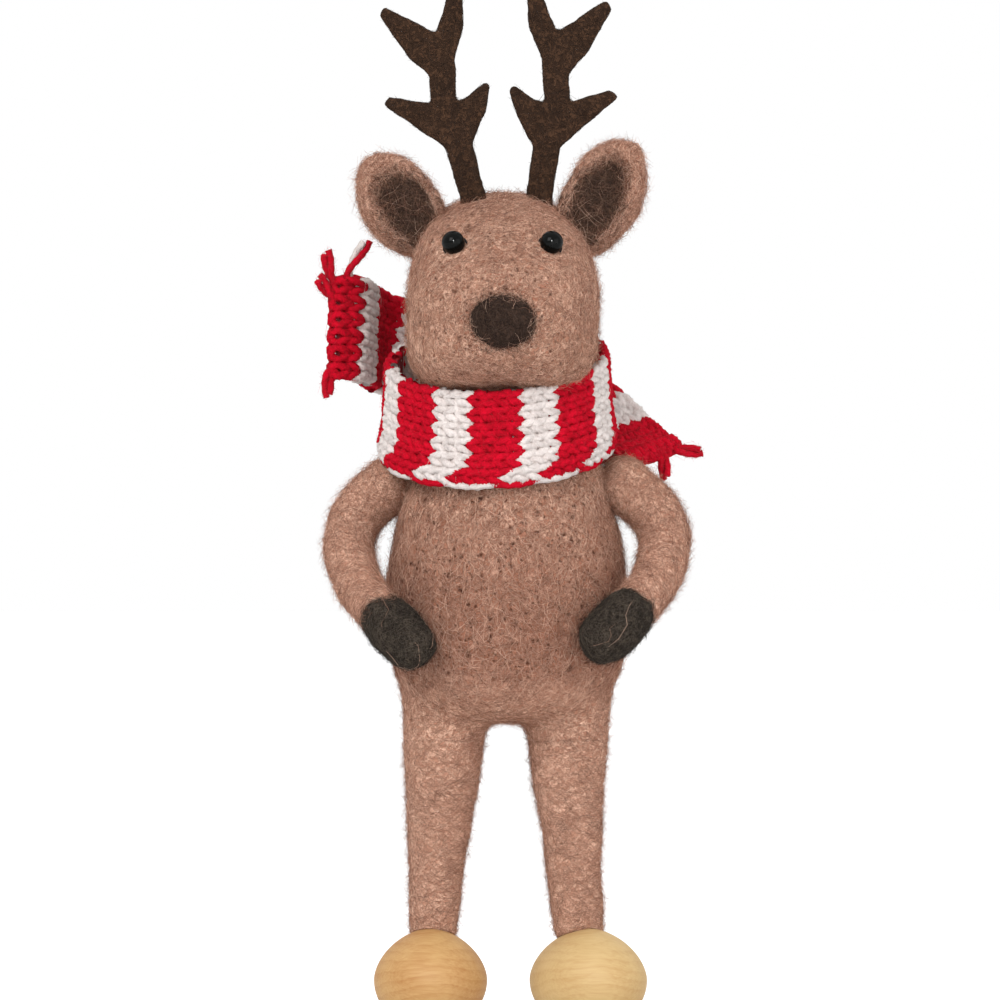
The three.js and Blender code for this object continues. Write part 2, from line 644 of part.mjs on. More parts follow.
function makeEars(add, headClear) {
  for (const [name, side] of Object.entries(SIDES)) {
    const frame = earFrame(name, side);
    const leaf = new THREE.SphereGeometry(0.5, 18, 12).scale(EAR_WIDTH, EAR_THICK, EAR_LENGTH[name]);
    const scoopDepth = 2 * (EAR_THICK - EAR_FLOOR);
    const scoop = (grow) => {
      const bowl = new THREE.SphereGeometry(0.5, 16, 10);
      bowl.scale(EAR_WIDTH - 2 * EAR_RIM + grow, scoopDepth + grow, EAR_LENGTH[name] - 2 * EAR_RIM + grow);
      return solidFrom(bowl.translate(-side * SCOOP_SHIFT, -EAR_THICK / 2, 0).applyMatrix4(frame));
    };
    const face = EAR_THICK / 2 - EAR_FLOOR - GAP - LINING; // plane that the lining is level with
    const behind = new THREE.BoxGeometry(2 * EAR_WIDTH, EAR_THICK, 2 * EAR_LENGTH[name]);
    behind.translate(0, face + EAR_THICK / 2, 0).applyMatrix4(frame);
    const ear = solidFrom(leaf.applyMatrix4(frame));
    const lining = scoop(-2 * GAP).intersect(solidFrom(behind));
    add(`ear_${name}`, BROWN_WOOL, cut(ear, scoop(0), headClear));
    add(`ear_lining_${name}`, LINING_WOOL, cut(lining, headClear));
  }
}

// Scarf and fringe

// A section of the strip: across is the way over its width, out the way through its thickness.
function stripSection({ middle, across, out, width, thickness, roll }) {
  const corners = 14;
  const ring = [];
  for (let corner = 0; corner < corners; corner++) {
    const angle = (2 * Math.PI * (corner + 0.5)) / corners;
    const height = (width / 2) * signedPower(Math.sin(angle), 0.7);
    const offset = (height + width / 2 - SCARF_ROLL_HEIGHT) / SCARF_ROLL_HEIGHT;
    const half = thickness / 2 + roll * Math.exp(-(offset ** 2));
    ring.push(middle.clone().addScaledVector(across, height)
      .addScaledVector(out, half * signedPower(Math.cos(angle), 0.6)));
  }
  return ring;
}

// The band's middle at an angle round the neck, from +X towards the nape.
function bandPlace(angle) {
  const halfWidth = torsoRadius(SHOULDER) + GAP + SCARF_THICK / 2 + SCARF_ROLL - SCARF_HUG;
  const halfDepth = halfWidth * DEPTH_RATIO;
  const [x, y] = [halfWidth * Math.cos(angle), halfDepth * Math.sin(angle)];
  const height = NECK - SCARF_DROP + y * Math.tan(radians(SCARF_TILT)) + x * Math.tan(radians(SCARF_CANT));
  const out = vector(Math.cos(angle) / halfWidth, Math.sin(angle) / halfDepth, 0).normalize();
  return { at: vector(x - SCARF_SHIFT, y, height), out };
}

function bandForm() {
  const steps = 40;
  const lean = radians(SCARF_LEAN);
  const rings = [];
  for (let i = 0; i < steps; i++) {
    const { at, out } = bandPlace((2 * Math.PI * i) / steps);
    const across = UP.clone().multiplyScalar(Math.cos(lean)).addScaledVector(out, -Math.sin(lean));
    const through = out.clone().multiplyScalar(Math.cos(lean)).addScaledVector(UP, Math.sin(lean));
    const size = { width: SCARF_WIDTH, thickness: SCARF_THICK, roll: SCARF_ROLL };
    rings.push(stripSection({ middle: at, across, out: through, ...size }));
  }
  return loft(rings, true);
}

function knotMiddle() {
  const { at } = bandPlace(Math.PI / 2);
  return at.add(vector(0, (SCARF_THICK + KNOT_DEPTH) / 2 - SCARF_ROLL, -KNOT_DROP));
}

function tailCurve(name) {
  const side = SIDES[name];
  const stations = TAIL_STATIONS[name];
  const reach = TAIL_REACH[name];
  const points = stations.map(({ out, back, up }) =>
    knotMiddle().add(vector(side * out, back, up).multiplyScalar(reach)));
  const path = new THREE.CatmullRomCurve3(points);
  const twists = new THREE.SplineCurve(stations.map(({ twist }, i) => new THREE.Vector2(i, twist)));
  return { path, twistAt: (share) => twists.getPoint(share).y };
}

// The middle, the width, the way over it and the way along of a tail at a share of its length.
function tailPlace({ path, twistAt }, share) {
  const parameter = path.getUtoTmapping(share);
  const along = path.getTangent(parameter);
  const upright = UP.clone().addScaledVector(along, -UP.dot(along)).normalize();
  const across = upright.applyAxisAngle(along, radians(twistAt(parameter)));
  const width = SCARF_WIDTH * lerp(1, TAIL_FLARE, share);
  return { at: path.getPoint(parameter), width, across, along };
}

function tailForm(name) {
  const curve = tailCurve(name);
  const steps = 11;
  const rings = [];
  for (let i = 0; i <= steps; i++) {
    const { at, width, across, along } = tailPlace(curve, i / steps);
    const out = along.clone().cross(across);
    rings.push(stripSection({ middle: at, across, out, width, thickness: TAIL_THICK, roll: 0 }));
  }
  return loft(rings);
}

function makeScarf(add, headClear, torsoClear) {
  const knot = ellipsoid(KNOT_WIDTH, KNOT_DEPTH, KNOT_HEIGHT, knotMiddle(), 14);
  const strip = join(bandForm(), knot, tailForm('left'), tailForm('right'));
  add('scarf', KNIT, cut(strip, headClear, torsoClear).simplify(SLIVER));
}

function strandPath({ tail, inEdge, across, lay }) {
  const curve = tailCurve(tail);
  const length = curve.path.getLength();
  const place = tailPlace(curve, inEdge ? 1 - STRAND_INSET / length : 1);
  const start = place.at.clone();
  const root = inEdge ? place.across : place.along;
  start.addScaledVector(place.across, (across * place.width) / 2).addScaledVector(root, GAP);
  const bend = start.clone().addScaledVector(root, STRAND_ROOT);
  const [out, back, up] = lay;
  const end = bend.clone().add(vector(SIDES[tail] * out, back, up).multiplyScalar(STRAND_LENGTH));
  return new THREE.CatmullRomCurve3([start, bend, end]);
}

function makeFringe(add) {
  const count = { left: 0, right: 0 };
  for (const strand of STRANDS) {
    count[strand.tail] += 1;
    add(`fringe_${strand.tail}_${count[strand.tail]}`, KNIT, rod(strandPath(strand), STRAND, 5));
  }
}

// Assembly

const figure = new THREE.Group();

function add(name, material, solid) {
  const mesh = new THREE.Mesh(geometryFrom(solid), material);
  mesh.name = name;
  figure.add(mesh);
}

const torsoClear = torsoForm(GAP, 15, TURN_SIDES);
const headClear = headForm(GAP, 16, TURN_SIDES);

makeFeet(add);
makeLegs(add, torsoClear);
makeTorso(add, headClear);
makeArms(add);
makeHead(add, headClear);
makeEyes(add);
makeEars(add, headClear);
makeAntlers(add);
makeScarf(add, headClear, torsoClear);
makeFringe(add);

const box = new THREE.Box3().setFromObject(figure);
const middle = box.getCenter(vector(0, 0, 0));
figure.position.set(-middle.x, -middle.y, -box.min.z);

const ornament = new THREE.Group();
ornament.add(figure);

export default ornament;
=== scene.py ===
"""Dresses the needle-felted reindeer in wool, felt antlers, a knitted scarf, bead eyes and wooden feet.

Sizes are millimetres in the maker's frame: +Z up, the figure faces -Y, its own left side is +X, and the
middle of the wire across its shoulders is over the origin. A finished mesh is in metres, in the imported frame.
"""

import logging
import math
from collections.abc import Callable
from dataclasses import dataclass, field
from enum import Enum

import bmesh
import bpy
import numpy as np
from bpy.types import Material, Object
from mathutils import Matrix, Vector, noise


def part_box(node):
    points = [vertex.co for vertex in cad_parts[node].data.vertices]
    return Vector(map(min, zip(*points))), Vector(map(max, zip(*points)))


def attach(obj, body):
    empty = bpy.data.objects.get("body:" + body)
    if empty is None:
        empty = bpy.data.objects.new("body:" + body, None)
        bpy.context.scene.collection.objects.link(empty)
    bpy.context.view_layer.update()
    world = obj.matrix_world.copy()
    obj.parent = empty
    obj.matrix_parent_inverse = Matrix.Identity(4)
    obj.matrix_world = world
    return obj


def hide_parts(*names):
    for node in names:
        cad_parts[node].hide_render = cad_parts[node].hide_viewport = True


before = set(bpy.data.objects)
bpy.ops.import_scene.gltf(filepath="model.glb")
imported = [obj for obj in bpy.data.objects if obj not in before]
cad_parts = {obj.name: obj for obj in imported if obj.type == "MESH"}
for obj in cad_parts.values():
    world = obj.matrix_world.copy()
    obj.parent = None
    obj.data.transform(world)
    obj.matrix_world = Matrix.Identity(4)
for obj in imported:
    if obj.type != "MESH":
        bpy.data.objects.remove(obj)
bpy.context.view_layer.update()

LOG = logging.getLogger("reindeer")
MM = 0.001
SIDES = {"left": 1, "right": -1}
UP = np.array((0.0, 0.0, 1.0))
ACROSS = np.array((1.0, 0.0, 0.0))
COVER = "cover"  # share of the full coat of fibres that a skin carries at a point
GRAIN = "grain"  # the axis that fibres are wound round
UPRIGHT = "upright"  # 1 where fibres keep to their coat's angle, 0 where they are wound
TONE = "tone"  # from a fibre's darkest colour to its palest
LOT = "lot"  # a fibre's own random number
STRIPE_MAP = "stripes"  # a strip's map: shares of its half width over it, millimetres along it

Array = np.ndarray
Triple = tuple[float, float, float]
Faces = list[tuple[int, ...]]


def srgb(red: int, green: int, blue: int) -> Triple:
    """A linear colour from screen values of 0 to 255."""
    shares = (value / 255 for value in (red, green, blue))
    return tuple(s / 12.92 if s <= 0.04045 else ((s + 0.055) / 1.055) ** 2.4 for s in shares)


def unit(vectors: Array) -> Array:
    """Vectors of length one, along the last axis."""
    return vectors / np.maximum(np.linalg.norm(vectors, axis=-1, keepdims=True), 1e-12)


def signed_power(values: Array, power: Array) -> Array:
    """Powers that keep the sign."""
    return np.sign(values) * np.abs(values) ** power


def smooth_step(values: Array) -> Array:
    """Eases from 0 to 1."""
    share = np.clip(values, 0, 1)
    return share * share * (3 - 2 * share)


def circle(corners: int) -> Array:
    """Angles evenly round a full turn."""
    return np.linspace(0, 2 * math.pi, corners, endpoint=False)


def turn(axis: Array, degrees: float) -> Array:
    """The matrix of a turn about an axis."""
    x, y, z = unit(np.asarray(axis, float))
    skew = np.array(((0, -z, y), (z, 0, -x), (-y, x, 0)))
    angle = math.radians(degrees)
    return np.eye(3) + math.sin(angle) * skew + (1 - math.cos(angle)) * skew @ skew


class Wire:
    """A socket of a node tree. Operators on it add Math nodes."""

    def __init__(self, graph: "Graph", socket: bpy.types.NodeSocket) -> None:
        """Keeps the graph and the socket."""
        self.graph = graph
        self.socket = socket

    def output(self, name: str) -> "Wire":
        """Another output of the same node."""
        return Wire(self.graph, self.socket.node.outputs[name])

    def __add__(self, other: "Wire | float") -> "Wire":
        """The sum."""
        return self.graph.maths("ADD", self, other)

    def __sub__(self, other: "Wire | float") -> "Wire":
        """The difference."""
        return self.graph.maths("SUBTRACT", self, other)

    def __rsub__(self, other: float) -> "Wire":
        """The difference from a number."""
        return self.graph.maths("SUBTRACT", other, self)

    def __mul__(self, other: "Wire | float") -> "Wire":
        """The product."""
        return self.graph.maths("MULTIPLY", self, other)

    def __truediv__(self, other: "Wire | float") -> "Wire":
        """The quotient."""
        return self.graph.maths("DIVIDE", self, other)

    __radd__ = __add__
    __rmul__ = __mul__


Value = Wire | float | int | str | tuple | bpy.types.ID


class Graph:
    """A node tree that is built by expressions."""

    def __init__(self, tree: bpy.types.NodeTree) -> None:
        """Keeps the tree."""
        self.tree = tree

    def node(self, kind: str, settings: dict | None = None, sockets: dict | None = None,
             output: str | int = 0) -> Wire:
        """Adds one node.

        Args:
            kind: The node's type.
            settings: Its own properties, which are set first.
            sockets: Values or wires for its inputs, by identifier or by number.
            output: The output that is given back.

        Returns:
            The wire at that output.
        """
        node = self.tree.nodes.new(kind)
        for key, value in (settings or {}).items():
            setattr(node, key, value)
        known = {socket.identifier: socket for socket in node.inputs}
        for key, value in (sockets or {}).items():
            self.feed(node.inputs[key] if isinstance(key, int) else known[key], value)
        return Wire(self, node.outputs[output])

    def feed(self, socket: bpy.types.NodeSocket, value: Value) -> None:
        """Links a wire to a socket, or sets the socket to a plain value."""
        if isinstance(value, Wire):
            self.tree.links.new(value.socket, socket)
        elif socket.type == "RGBA" and len(value) == 3:
            socket.default_value = (*value, 1.0)
        else:
            socket.default_value = value

    def maths(self, operation: str, *values: Value) -> Wire:
        """A Math node over these values."""
        return self.node("ShaderNodeMath", {"operation": operation}, dict(enumerate(values)))

    def vector(self, operation: str, *values: Value, scale: Value | None = None) -> Wire:
        """A Vector Math node over these values."""
        sockets = dict(enumerate(values))
        if scale is not None:
            sockets["Scale"] = scale
        return self.node("ShaderNodeVectorMath", {"operation": operation}, sockets)

    def cloud(self, place: Wire, scale: float, detail: float = 2.0, **settings: Value) -> Wire:
        """A noise texture's value, from 0 to 1."""
        sockets = {"Vector": place, "Scale": scale, "Detail": detail, **settings}
        return self.node("ShaderNodeTexNoise", None, sockets)

    def wander(self, place: Wire, scale: float, detail: float, reach: float) -> Wire:
        """A place that noise moves by up to reach along each axis."""
        sockets = {"Vector": place, "Scale": scale, "Detail": detail}
        moved = self.node("ShaderNodeTexNoise", None, sockets, output="Color")
        return self.vector("ADD", place, self.vector("SCALE", moved, scale=reach))


class Paint(Graph):
    """A material round one Principled shader."""

    def __init__(self, name: str) -> None:
        """Starts a material."""
        self.material = bpy.data.materials.new(name)
        self.material.use_nodes = True
        super().__init__(self.material.node_tree)
        self.shader = self.tree.nodes["Principled BSDF"]

    def place(self) -> Wire:
        """Object coordinates in millimetres."""
        return self.vector("SCALE", self.node("ShaderNodeTexCoord", output="Object"), scale=1 / MM)

    def part(self, place: Wire, axis: str) -> Wire:
        """What a place measures along one axis."""
        return self.node("ShaderNodeSeparateXYZ", None, {"Vector": place}, output=axis)

    def tone(self) -> Wire:
        """A fibre's own tone."""
        return self.node("ShaderNodeAttribute", {"attribute_name": TONE}, output="Fac")

    def mix(self, share: Value, first: Value, second: Value) -> Wire:
        """A colour between two."""
        sockets = {"Factor_Float": share, "A_Color": first, "B_Color": second}
        return self.node("ShaderNodeMix", {"data_type": "RGBA"}, sockets, output=2)

    def ramp(self, value: Wire, low: float, high: float) -> Wire:
        """A smooth rise from 0 at low to 1 at high."""
        sockets = {"Value": value, "From Min": low, "From Max": high}
        return self.node("ShaderNodeMapRange", {"interpolation_type": "SMOOTHSTEP"}, sockets)

    def bump(self, height: Wire, distance: float) -> Wire:
        """A normal from heights, whose full step is distance in millimetres."""
        sockets = {"Height": height, "Distance": distance * MM, "Strength": 1.0}
        return self.node("ShaderNodeBump", None, sockets)

    def finish(self, **sockets: Value) -> Material:
        """Sets the shader's sockets, with _ for a space, and gives the material."""
        for key, value in sockets.items():
            self.feed(self.shader.inputs[key.replace("_", " ")], value)
        return self.material


NEEDLE_MARKS = ((0.5, 0.3, 1.0), (1.05, 0.36, 0.9))  # needle pits to a millimetre, where each ends, and depth, which sets their bump and the painted shade in them
FIBRE_LAYERS = (0.34, 0.42, 0.5)  # how fine each layer of crossing fibres is, as a share of the streak
LAYER_SHIFT = np.array((11.3, 7.1, 5.7))  # from one layer to the next
FIBRE_HALF = 0.055  # half a fibre's breadth in the noise
WINDING = (-5.0, 7.0)  # heights from the hip, between which winding gives way to needling
HIP_SHADE_FADE = (12.0, 42.0)  # between which the painted shade over the hip fades out
PAINTED_LIGHT_HEIGHTS = (-20.0, 0.0)  # between which wound wool gets painted light, stronger downwards
# how far the shins are mixed towards the palest tone, as painted light
SHIN_LIGHT = 0.22


@dataclass(frozen=True)
class Wool:
    """Wool that is felted with a needle: its colours, its needle marks with painted shade in them, and the run
    of its fibres.
    """

    name: str
    # deep: the painted shade in the needle pits, and the dark end of the strays' painted darker tone
    deep: Triple
    shade: Triple
    light: Triple
    pale: Triple
    pit_depth_and_shade: float = 0.0  # how strongly the needle pits show: their bump and the painted shade in them
    streak: Triple = (2.2, 2.2, 2.2)  # fibre streaks to a millimetre, along each axis
    wound_below: float | None = None  # height under which it is wound, with no needle marks
    relief: float = 0.45  # depth of the felted surface

    def needled(self, paint: Paint, place: Wire) -> Wire | float:
        """1 where the wool is needled, falling to 0 where it is wound."""
        if self.wound_below is None:
            return 1.0
        return self.rise(paint, place, WINDING)

    def rise(self, paint: Paint, place: Wire, heights: tuple[float, float]) -> Wire:
        """A rise from 0 to 1 between two heights, which are measured from where winding ends."""
        low, high = (self.wound_below + height for height in heights)
        return paint.ramp(paint.part(place, "Z"), low, high)

    def pits_and_shade(self, paint: Paint, place: Wire) -> Wire:
        """Where the needle went in: soft pits of two sizes, some missing, from 0 to 1, for their bump and their
        painted shade.
        """
        wandering = paint.wander(place, 1.1, 1.0, reach=1.2)
        sizes = []
        for scale, edge, depth in NEEDLE_MARKS:
            cells = paint.node("ShaderNodeTexVoronoi", None, {"Vector": wandering, "Scale": scale})
            sockets = {"Color": cells.output("Color")}
            chosen = paint.node("ShaderNodeSeparateColor", None, sockets, output="Red")
            sizes.append((1 - paint.ramp(cells, 0.04, edge)) * paint.ramp(chosen, 0.2, 0.5) * depth)
        return paint.maths("MAXIMUM", *sizes) * self.needled(paint, place) * self.pit_depth_and_shade

    def toned(self, paint: Paint, place: Wire, body: Wire, hip_shade_depth: float) -> Wire:
        """A colour of the wool, with painted shade just over the hip and painted light where it is wound."""
        if self.wound_below is None:
            return body
        # painted shade over the hip, and painted light on the shins
        painted_hip_shade = self.needled(paint, place) * (1 - self.rise(paint, place, HIP_SHADE_FADE))
        painted_shin_light = 1 - self.rise(paint, place, PAINTED_LIGHT_HEIGHTS)
        return paint.mix(painted_shin_light * SHIN_LIGHT, paint.mix(painted_hip_shade * hip_shade_depth, body, self.shade), self.pale)

    def tangle(self, paint: Paint, place: Wire, streak: Triple) -> Wire:
        """Fine fibres that cross one another: 1 along a fibre and 0 between them."""
        lines = 0.0
        for layer, fineness in enumerate(FIBRE_LAYERS):
            moved = paint.vector("ADD", place, tuple(layer * LAYER_SHIFT))
            level = paint.cloud(paint.vector("MULTIPLY", moved, tuple(fineness * np.array(streak))), 1.0, 1.0)
            line = 1 - paint.ramp(paint.maths("ABSOLUTE", level - 0.5), 0.0, FIBRE_HALF)
            lines = paint.maths("MAXIMUM", lines, line)
        return lines

    def run(self, paint: Paint, place: Wire, make: Callable[[Triple], Wire]) -> Wire:
        """What make gives for the wool's own streak, giving way to the wound one where it is wound."""
        own = make(self.streak)
        if self.wound_below is None:
            return own
        wound = make(WOUND_STREAK)
        return wound + (own - wound) * self.needled(paint, place)

    def skin(self) -> Material:
        """The felted surface under the loose fibres."""
        paint = Paint(f"{self.name}_skin")
        place = paint.place()
        wandering = paint.wander(place, 0.55, 2.0, reach=2.6)
        streaks = self.run(paint, place, lambda streak: paint.cloud(
            paint.vector("MULTIPLY", wandering, streak), 1.0, 4.0, Roughness=0.7))
        tangle = self.run(paint, place, lambda streak: self.tangle(paint, wandering, streak))
        crossed = paint.cloud(paint.vector("MULTIPLY", wandering, self.streak[::-1]), 1.3, 3.0, Roughness=0.7)
        patches = paint.cloud(place, 0.16, 3.0)
        pits_and_shade = self.pits_and_shade(paint, place)
        fibres = paint.ramp(streaks * 0.5 + crossed * 0.5, 0.32, 0.68)
        needled = self.needled(paint, place)
        patchy = paint.ramp(patches, 0.3, 0.7) * (needled * 0.32 + 0.08) + (1 - needled) * 0.16
        body = paint.mix(fibres * 0.6 + patchy, self.shade, self.light)
        # toned adds painted shade over the hip and painted light on the shins
        lined = self.toned(paint, place, paint.mix(tangle * 0.7, body, self.pale), hip_shade_depth=0.65)
        height = streaks * 0.4 + crossed * 0.4 + tangle * 0.5 - pits_and_shade * 0.9
        # painted shade in the needle pits
        body = paint.mix(pits_and_shade, lined, self.deep)
        normal = paint.bump(height * (needled * 0.4 + 0.6), self.relief)
        return paint.finish(Base_Color=body, Normal=normal, Roughness=0.95, Specular_IOR_Level=0.1)

    def fibre(self) -> Material:
        """Single fibres, which differ in tone, with painted shade over the hip and in the needle pits and
        painted light on the shins.
        """
        paint = Paint(f"{self.name}_fibre")
        place = paint.place()
        # toned adds painted shade over the hip and painted light on the shins
        body = self.toned(paint, place, paint.mix(paint.tone(), self.shade, self.pale), hip_shade_depth=0.2)
        if self.pit_depth_and_shade:
            # painted shade where a fibre crosses a needle pit
            body = paint.mix(self.pits_and_shade(paint, place), body, self.deep)
        return paint.finish(Base_Color=body, Roughness=0.8, Specular_IOR_Level=0.2)

    def stray(self) -> Material:
        """Single fibres that stand off the surface, painted darker for how they look against the light."""
        paint = Paint(f"{self.name}_stray")
        body = paint.mix(paint.tone(), self.deep, self.light)
        return paint.finish(Base_Color=body, Roughness=0.8, Specular_IOR_Level=0.1)


WOUND_STREAK = (1.9, 1.9, 2.2)  # of wool that is wound, with no needle marks
BROWN_TONES = {
    "deep": srgb(84, 47, 34),
    "shade": srgb(146, 96, 76),
    "light": srgb(204, 151, 125),
    "pale": srgb(244, 202, 177),
}
HIP = 55.0  # height over which the body is needled, and under which it is wound
BODY_WOOL = Wool("body_wool", **BROWN_TONES, pit_depth_and_shade=1.0, streak=(2.4, 2.4, 1.5), wound_below=HIP)
HEAD_WOOL = Wool("head_wool", **BROWN_TONES, pit_depth_and_shade=0.85)
EAR_WOOL = Wool("ear_wool", **BROWN_TONES, pit_depth_and_shade=0.15)
WOUND_TONES = BROWN_TONES | {"shade": srgb(154, 104, 84), "light": srgb(212, 160, 134)}
WOUND_WOOL = Wool("wound_wool", **WOUND_TONES, pit_depth_and_shade=0.2, streak=WOUND_STREAK, relief=0.28)
DARK_WOOL = Wool("dark_wool", srgb(15, 12, 10), srgb(32, 27, 23), srgb(57, 49, 42), srgb(108, 96, 84))
LINING_WOOL = Wool("lining_wool", srgb(28, 19, 14), srgb(48, 33, 26), srgb(74, 54, 43), srgb(120, 92, 76))
NOSE_WOOL = Wool("nose_wool", srgb(26, 18, 14), srgb(42, 30, 24), srgb(62, 46, 38), srgb(92, 70, 58))
ANTLER_FELT = Wool(
    "antler_felt", srgb(24, 15, 10), srgb(38, 25, 17), srgb(53, 36, 25), srgb(80, 56, 40),
    streak=(1.6, 1.6, 1.6),
)


@dataclass(frozen=True)
class Yarn:
    """Soft spun yarn of one colour."""

    name: str
    shade: Triple
    light: Triple

    def strand(self) -> Material:
        """The twisted yarn."""
        paint = Paint(f"{self.name}_yarn")
        place = paint.place()
        fluff = paint.cloud(place, 3.4, 4.0, Roughness=0.75)
        patches = paint.cloud(place, 0.6, 2.0)
        share = paint.ramp(fluff * 0.65 + patches * 0.35, 0.32, 0.64)
        body = paint.mix(share, self.shade, self.light)
        return paint.finish(
            Base_Color=body, Normal=paint.bump(fluff, 0.25), Roughness=0.9, Specular_IOR_Level=0.1)

    def fibre(self) -> Material:
        """Loose fibres on the yarn."""
        paint = Paint(f"{self.name}_yarn_fibre")
        return paint.finish(Base_Color=paint.mix(paint.tone(), self.shade, self.light), Roughness=0.8)

    def stray(self) -> Material:
        """Fibres that stand off the yarn."""
        return self.fibre()


RED_YARN = Yarn("red", srgb(170, 0, 23), srgb(214, 4, 40))
WHITE_YARN = Yarn("white", srgb(212, 199, 194), srgb(241, 232, 228))
RED_PAINTED_SHADE = srgb(84, 4, 12)  # painted shade between the loops
WHITE_PAINTED_SHADE = srgb(168, 148, 144)


@dataclass(frozen=True)
class KnitGround:
    """The striped ground behind the scarf's loops, in darker tones with painted shade between the loops."""

    red_run: float
    white_run: float

    def material(self) -> Material:
        """Stripes along the strip's own map, in the yarns' darker tones, partly mixed towards painted shade by
        noise.
        """
        paint = Paint("knit_ground")
        place = paint.node("ShaderNodeUVMap", {"uv_map": STRIPE_MAP})
        period = self.red_run + self.white_run
        phase = paint.maths("FRACT", paint.part(place, "Y") / period)
        red = paint.maths("LESS_THAN", phase, self.red_run / period)
        fluff = paint.cloud(paint.place(), 2.6, 3.0)
        body = paint.mix(red, WHITE_YARN.shade, RED_YARN.shade)
        # painted shade between the loops, mixed in by the fluff noise
        shaded = paint.mix(fluff * 0.5, body, paint.mix(red, WHITE_PAINTED_SHADE, RED_PAINTED_SHADE))
        return paint.finish(Base_Color=shaded, Normal=paint.bump(fluff, 0.4), Roughness=0.95)


@dataclass(frozen=True)
class TurnedWood:
    """Pale turned wood whose flattened growth rings lie round a line along the foot."""

    name: str
    early: Triple
    late: Triple
    heart: Triple  # a point of the rings' axis, which runs front to back
    ring: float = 1.5
    flattening: Triple = (0.5, 0.1, 1.0)  # of the rings, along each axis
    pores: Triple = (0.12, 2.6, 2.6)  # to a millimetre, along each axis

    def material(self) -> Material:
        """Rings, fine pores along the grain and a waxed surface."""
        paint = Paint(self.name)
        place = paint.vector("SUBTRACT", paint.place(), tuple(self.heart + SHIFT))
        bent = paint.wander(place, 0.07, 2.0, reach=4.5)
        radius = paint.vector("LENGTH", paint.vector("MULTIPLY", bent, self.flattening)).output("Value")
        rings = paint.maths("FRACT", radius / self.ring)
        late = paint.ramp(rings, 0.35, 0.95) * (1 - paint.ramp(rings, 0.95, 1.0))
        grain = paint.cloud(paint.vector("MULTIPLY", bent, self.pores), 1.0, 4.0, Roughness=0.65)
        tint = paint.cloud(place, 0.11, 2.0)
        share = paint.ramp(late * 0.1 + grain * 0.6 + tint * 0.6, 0.3, 1.0)
        body = paint.mix(share, self.early, self.late)
        normal = paint.bump(grain, 0.05)
        return paint.finish(
            Base_Color=body, Roughness=0.5 + grain * 0.16, Normal=normal, Specular_IOR_Level=0.2)


@dataclass(frozen=True)
class Plain:
    """A finish of two close tones in fine clumps."""

    name: str
    dark: Triple
    light: Triple
    clumps: float  # to a millimetre
    sockets: dict[str, float] = field(default_factory=dict)  # of the shader, apart from its roughness
    roughness: tuple[float, float] = (0.95, 0.0)  # of the dark tone, and what the light one adds
    detail: float = 4.0
    relief: float = 0.4  # of the clumps

    def material(self) -> Material:
        """The clumps, their relief and their sheen."""
        paint = Paint(self.name)
        clumps = paint.cloud(paint.place(), self.clumps, self.detail)
        least, more = self.roughness
        sockets = {
            "Base_Color": paint.mix(clumps, self.dark, self.light),
            "Roughness": least + clumps * more if more else least,
            **self.sockets,
        }
        if self.relief:
            sockets["Normal"] = paint.bump(clumps, self.relief)
        return paint.finish(**sockets)


GLOSS = {"Specular_IOR_Level": 0.09}
BEAD = Plain("bead", srgb(4, 5, 5), srgb(11, 13, 12), 3.0, GLOSS, (0.04, 0.06), 3.0, 0.0)
STEEL = Plain("wire", srgb(120, 122, 124), srgb(158, 160, 163), 2.2, {"Metallic": 1.0}, (0.3, 0.2), 3.0, 0.0)
COTTON = Plain("thread", srgb(18, 15, 12), srgb(34, 29, 24), 4.0)
STUFFING = Plain("stuffing", srgb(216, 208, 194), srgb(240, 236, 226), 0.5)

WIRE_LOW, WIRE_HIGH = (np.array(corner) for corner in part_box("shoulder_wire"))
SHOULDER = 91.2  # height of the wire across the shoulders
SHIFT = (WIRE_LOW + WIRE_HIGH) / (2 * MM) - SHOULDER * UP  # from the maker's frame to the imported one
ASKEW = np.array((0.31, 0.9, 0.27))  # an axis that no limb runs along
SPLINE_STEPS = 24  # between two of the points that a curve passes through
NOISE_STEP = 17.3  # from one seed's place in the noise to the next
POLE = 0.02  # angle that a turned form leaves open at its pole, where a cap closes it


def put_in_scene(name: str, data: bpy.types.ID) -> Object:
    """A new object in the scene."""
    thing = bpy.data.objects.new(name, data)
    bpy.context.scene.collection.objects.link(thing)
    return thing


@dataclass
class Shell:
    """Points and faces of a mesh that is being made."""

    points: Array
    faces: Faces

    def joined(self, *others: "Shell") -> "Shell":
        """This shell and others as one."""
        points, faces = [self.points], list(self.faces)
        for other in others:
            start = sum(len(block) for block in points)
            faces += [tuple(corner + start for corner in face) for face in other.faces]
            points.append(other.points)
        return Shell(np.concatenate(points), faces)

    def piece(self, name: str) -> Object:
        """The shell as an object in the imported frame, with its faces outwards."""
        mesh = bpy.data.meshes.new(name)
        mesh.from_pydata(((self.points + SHIFT) * MM).tolist(), [], self.faces)
        work = bmesh.new()
        work.from_mesh(mesh)
        bmesh.ops.recalc_face_normals(work, faces=work.faces)
        work.to_mesh(mesh)
        work.free()
        mesh.shade_smooth()
        return put_in_scene(name, mesh)


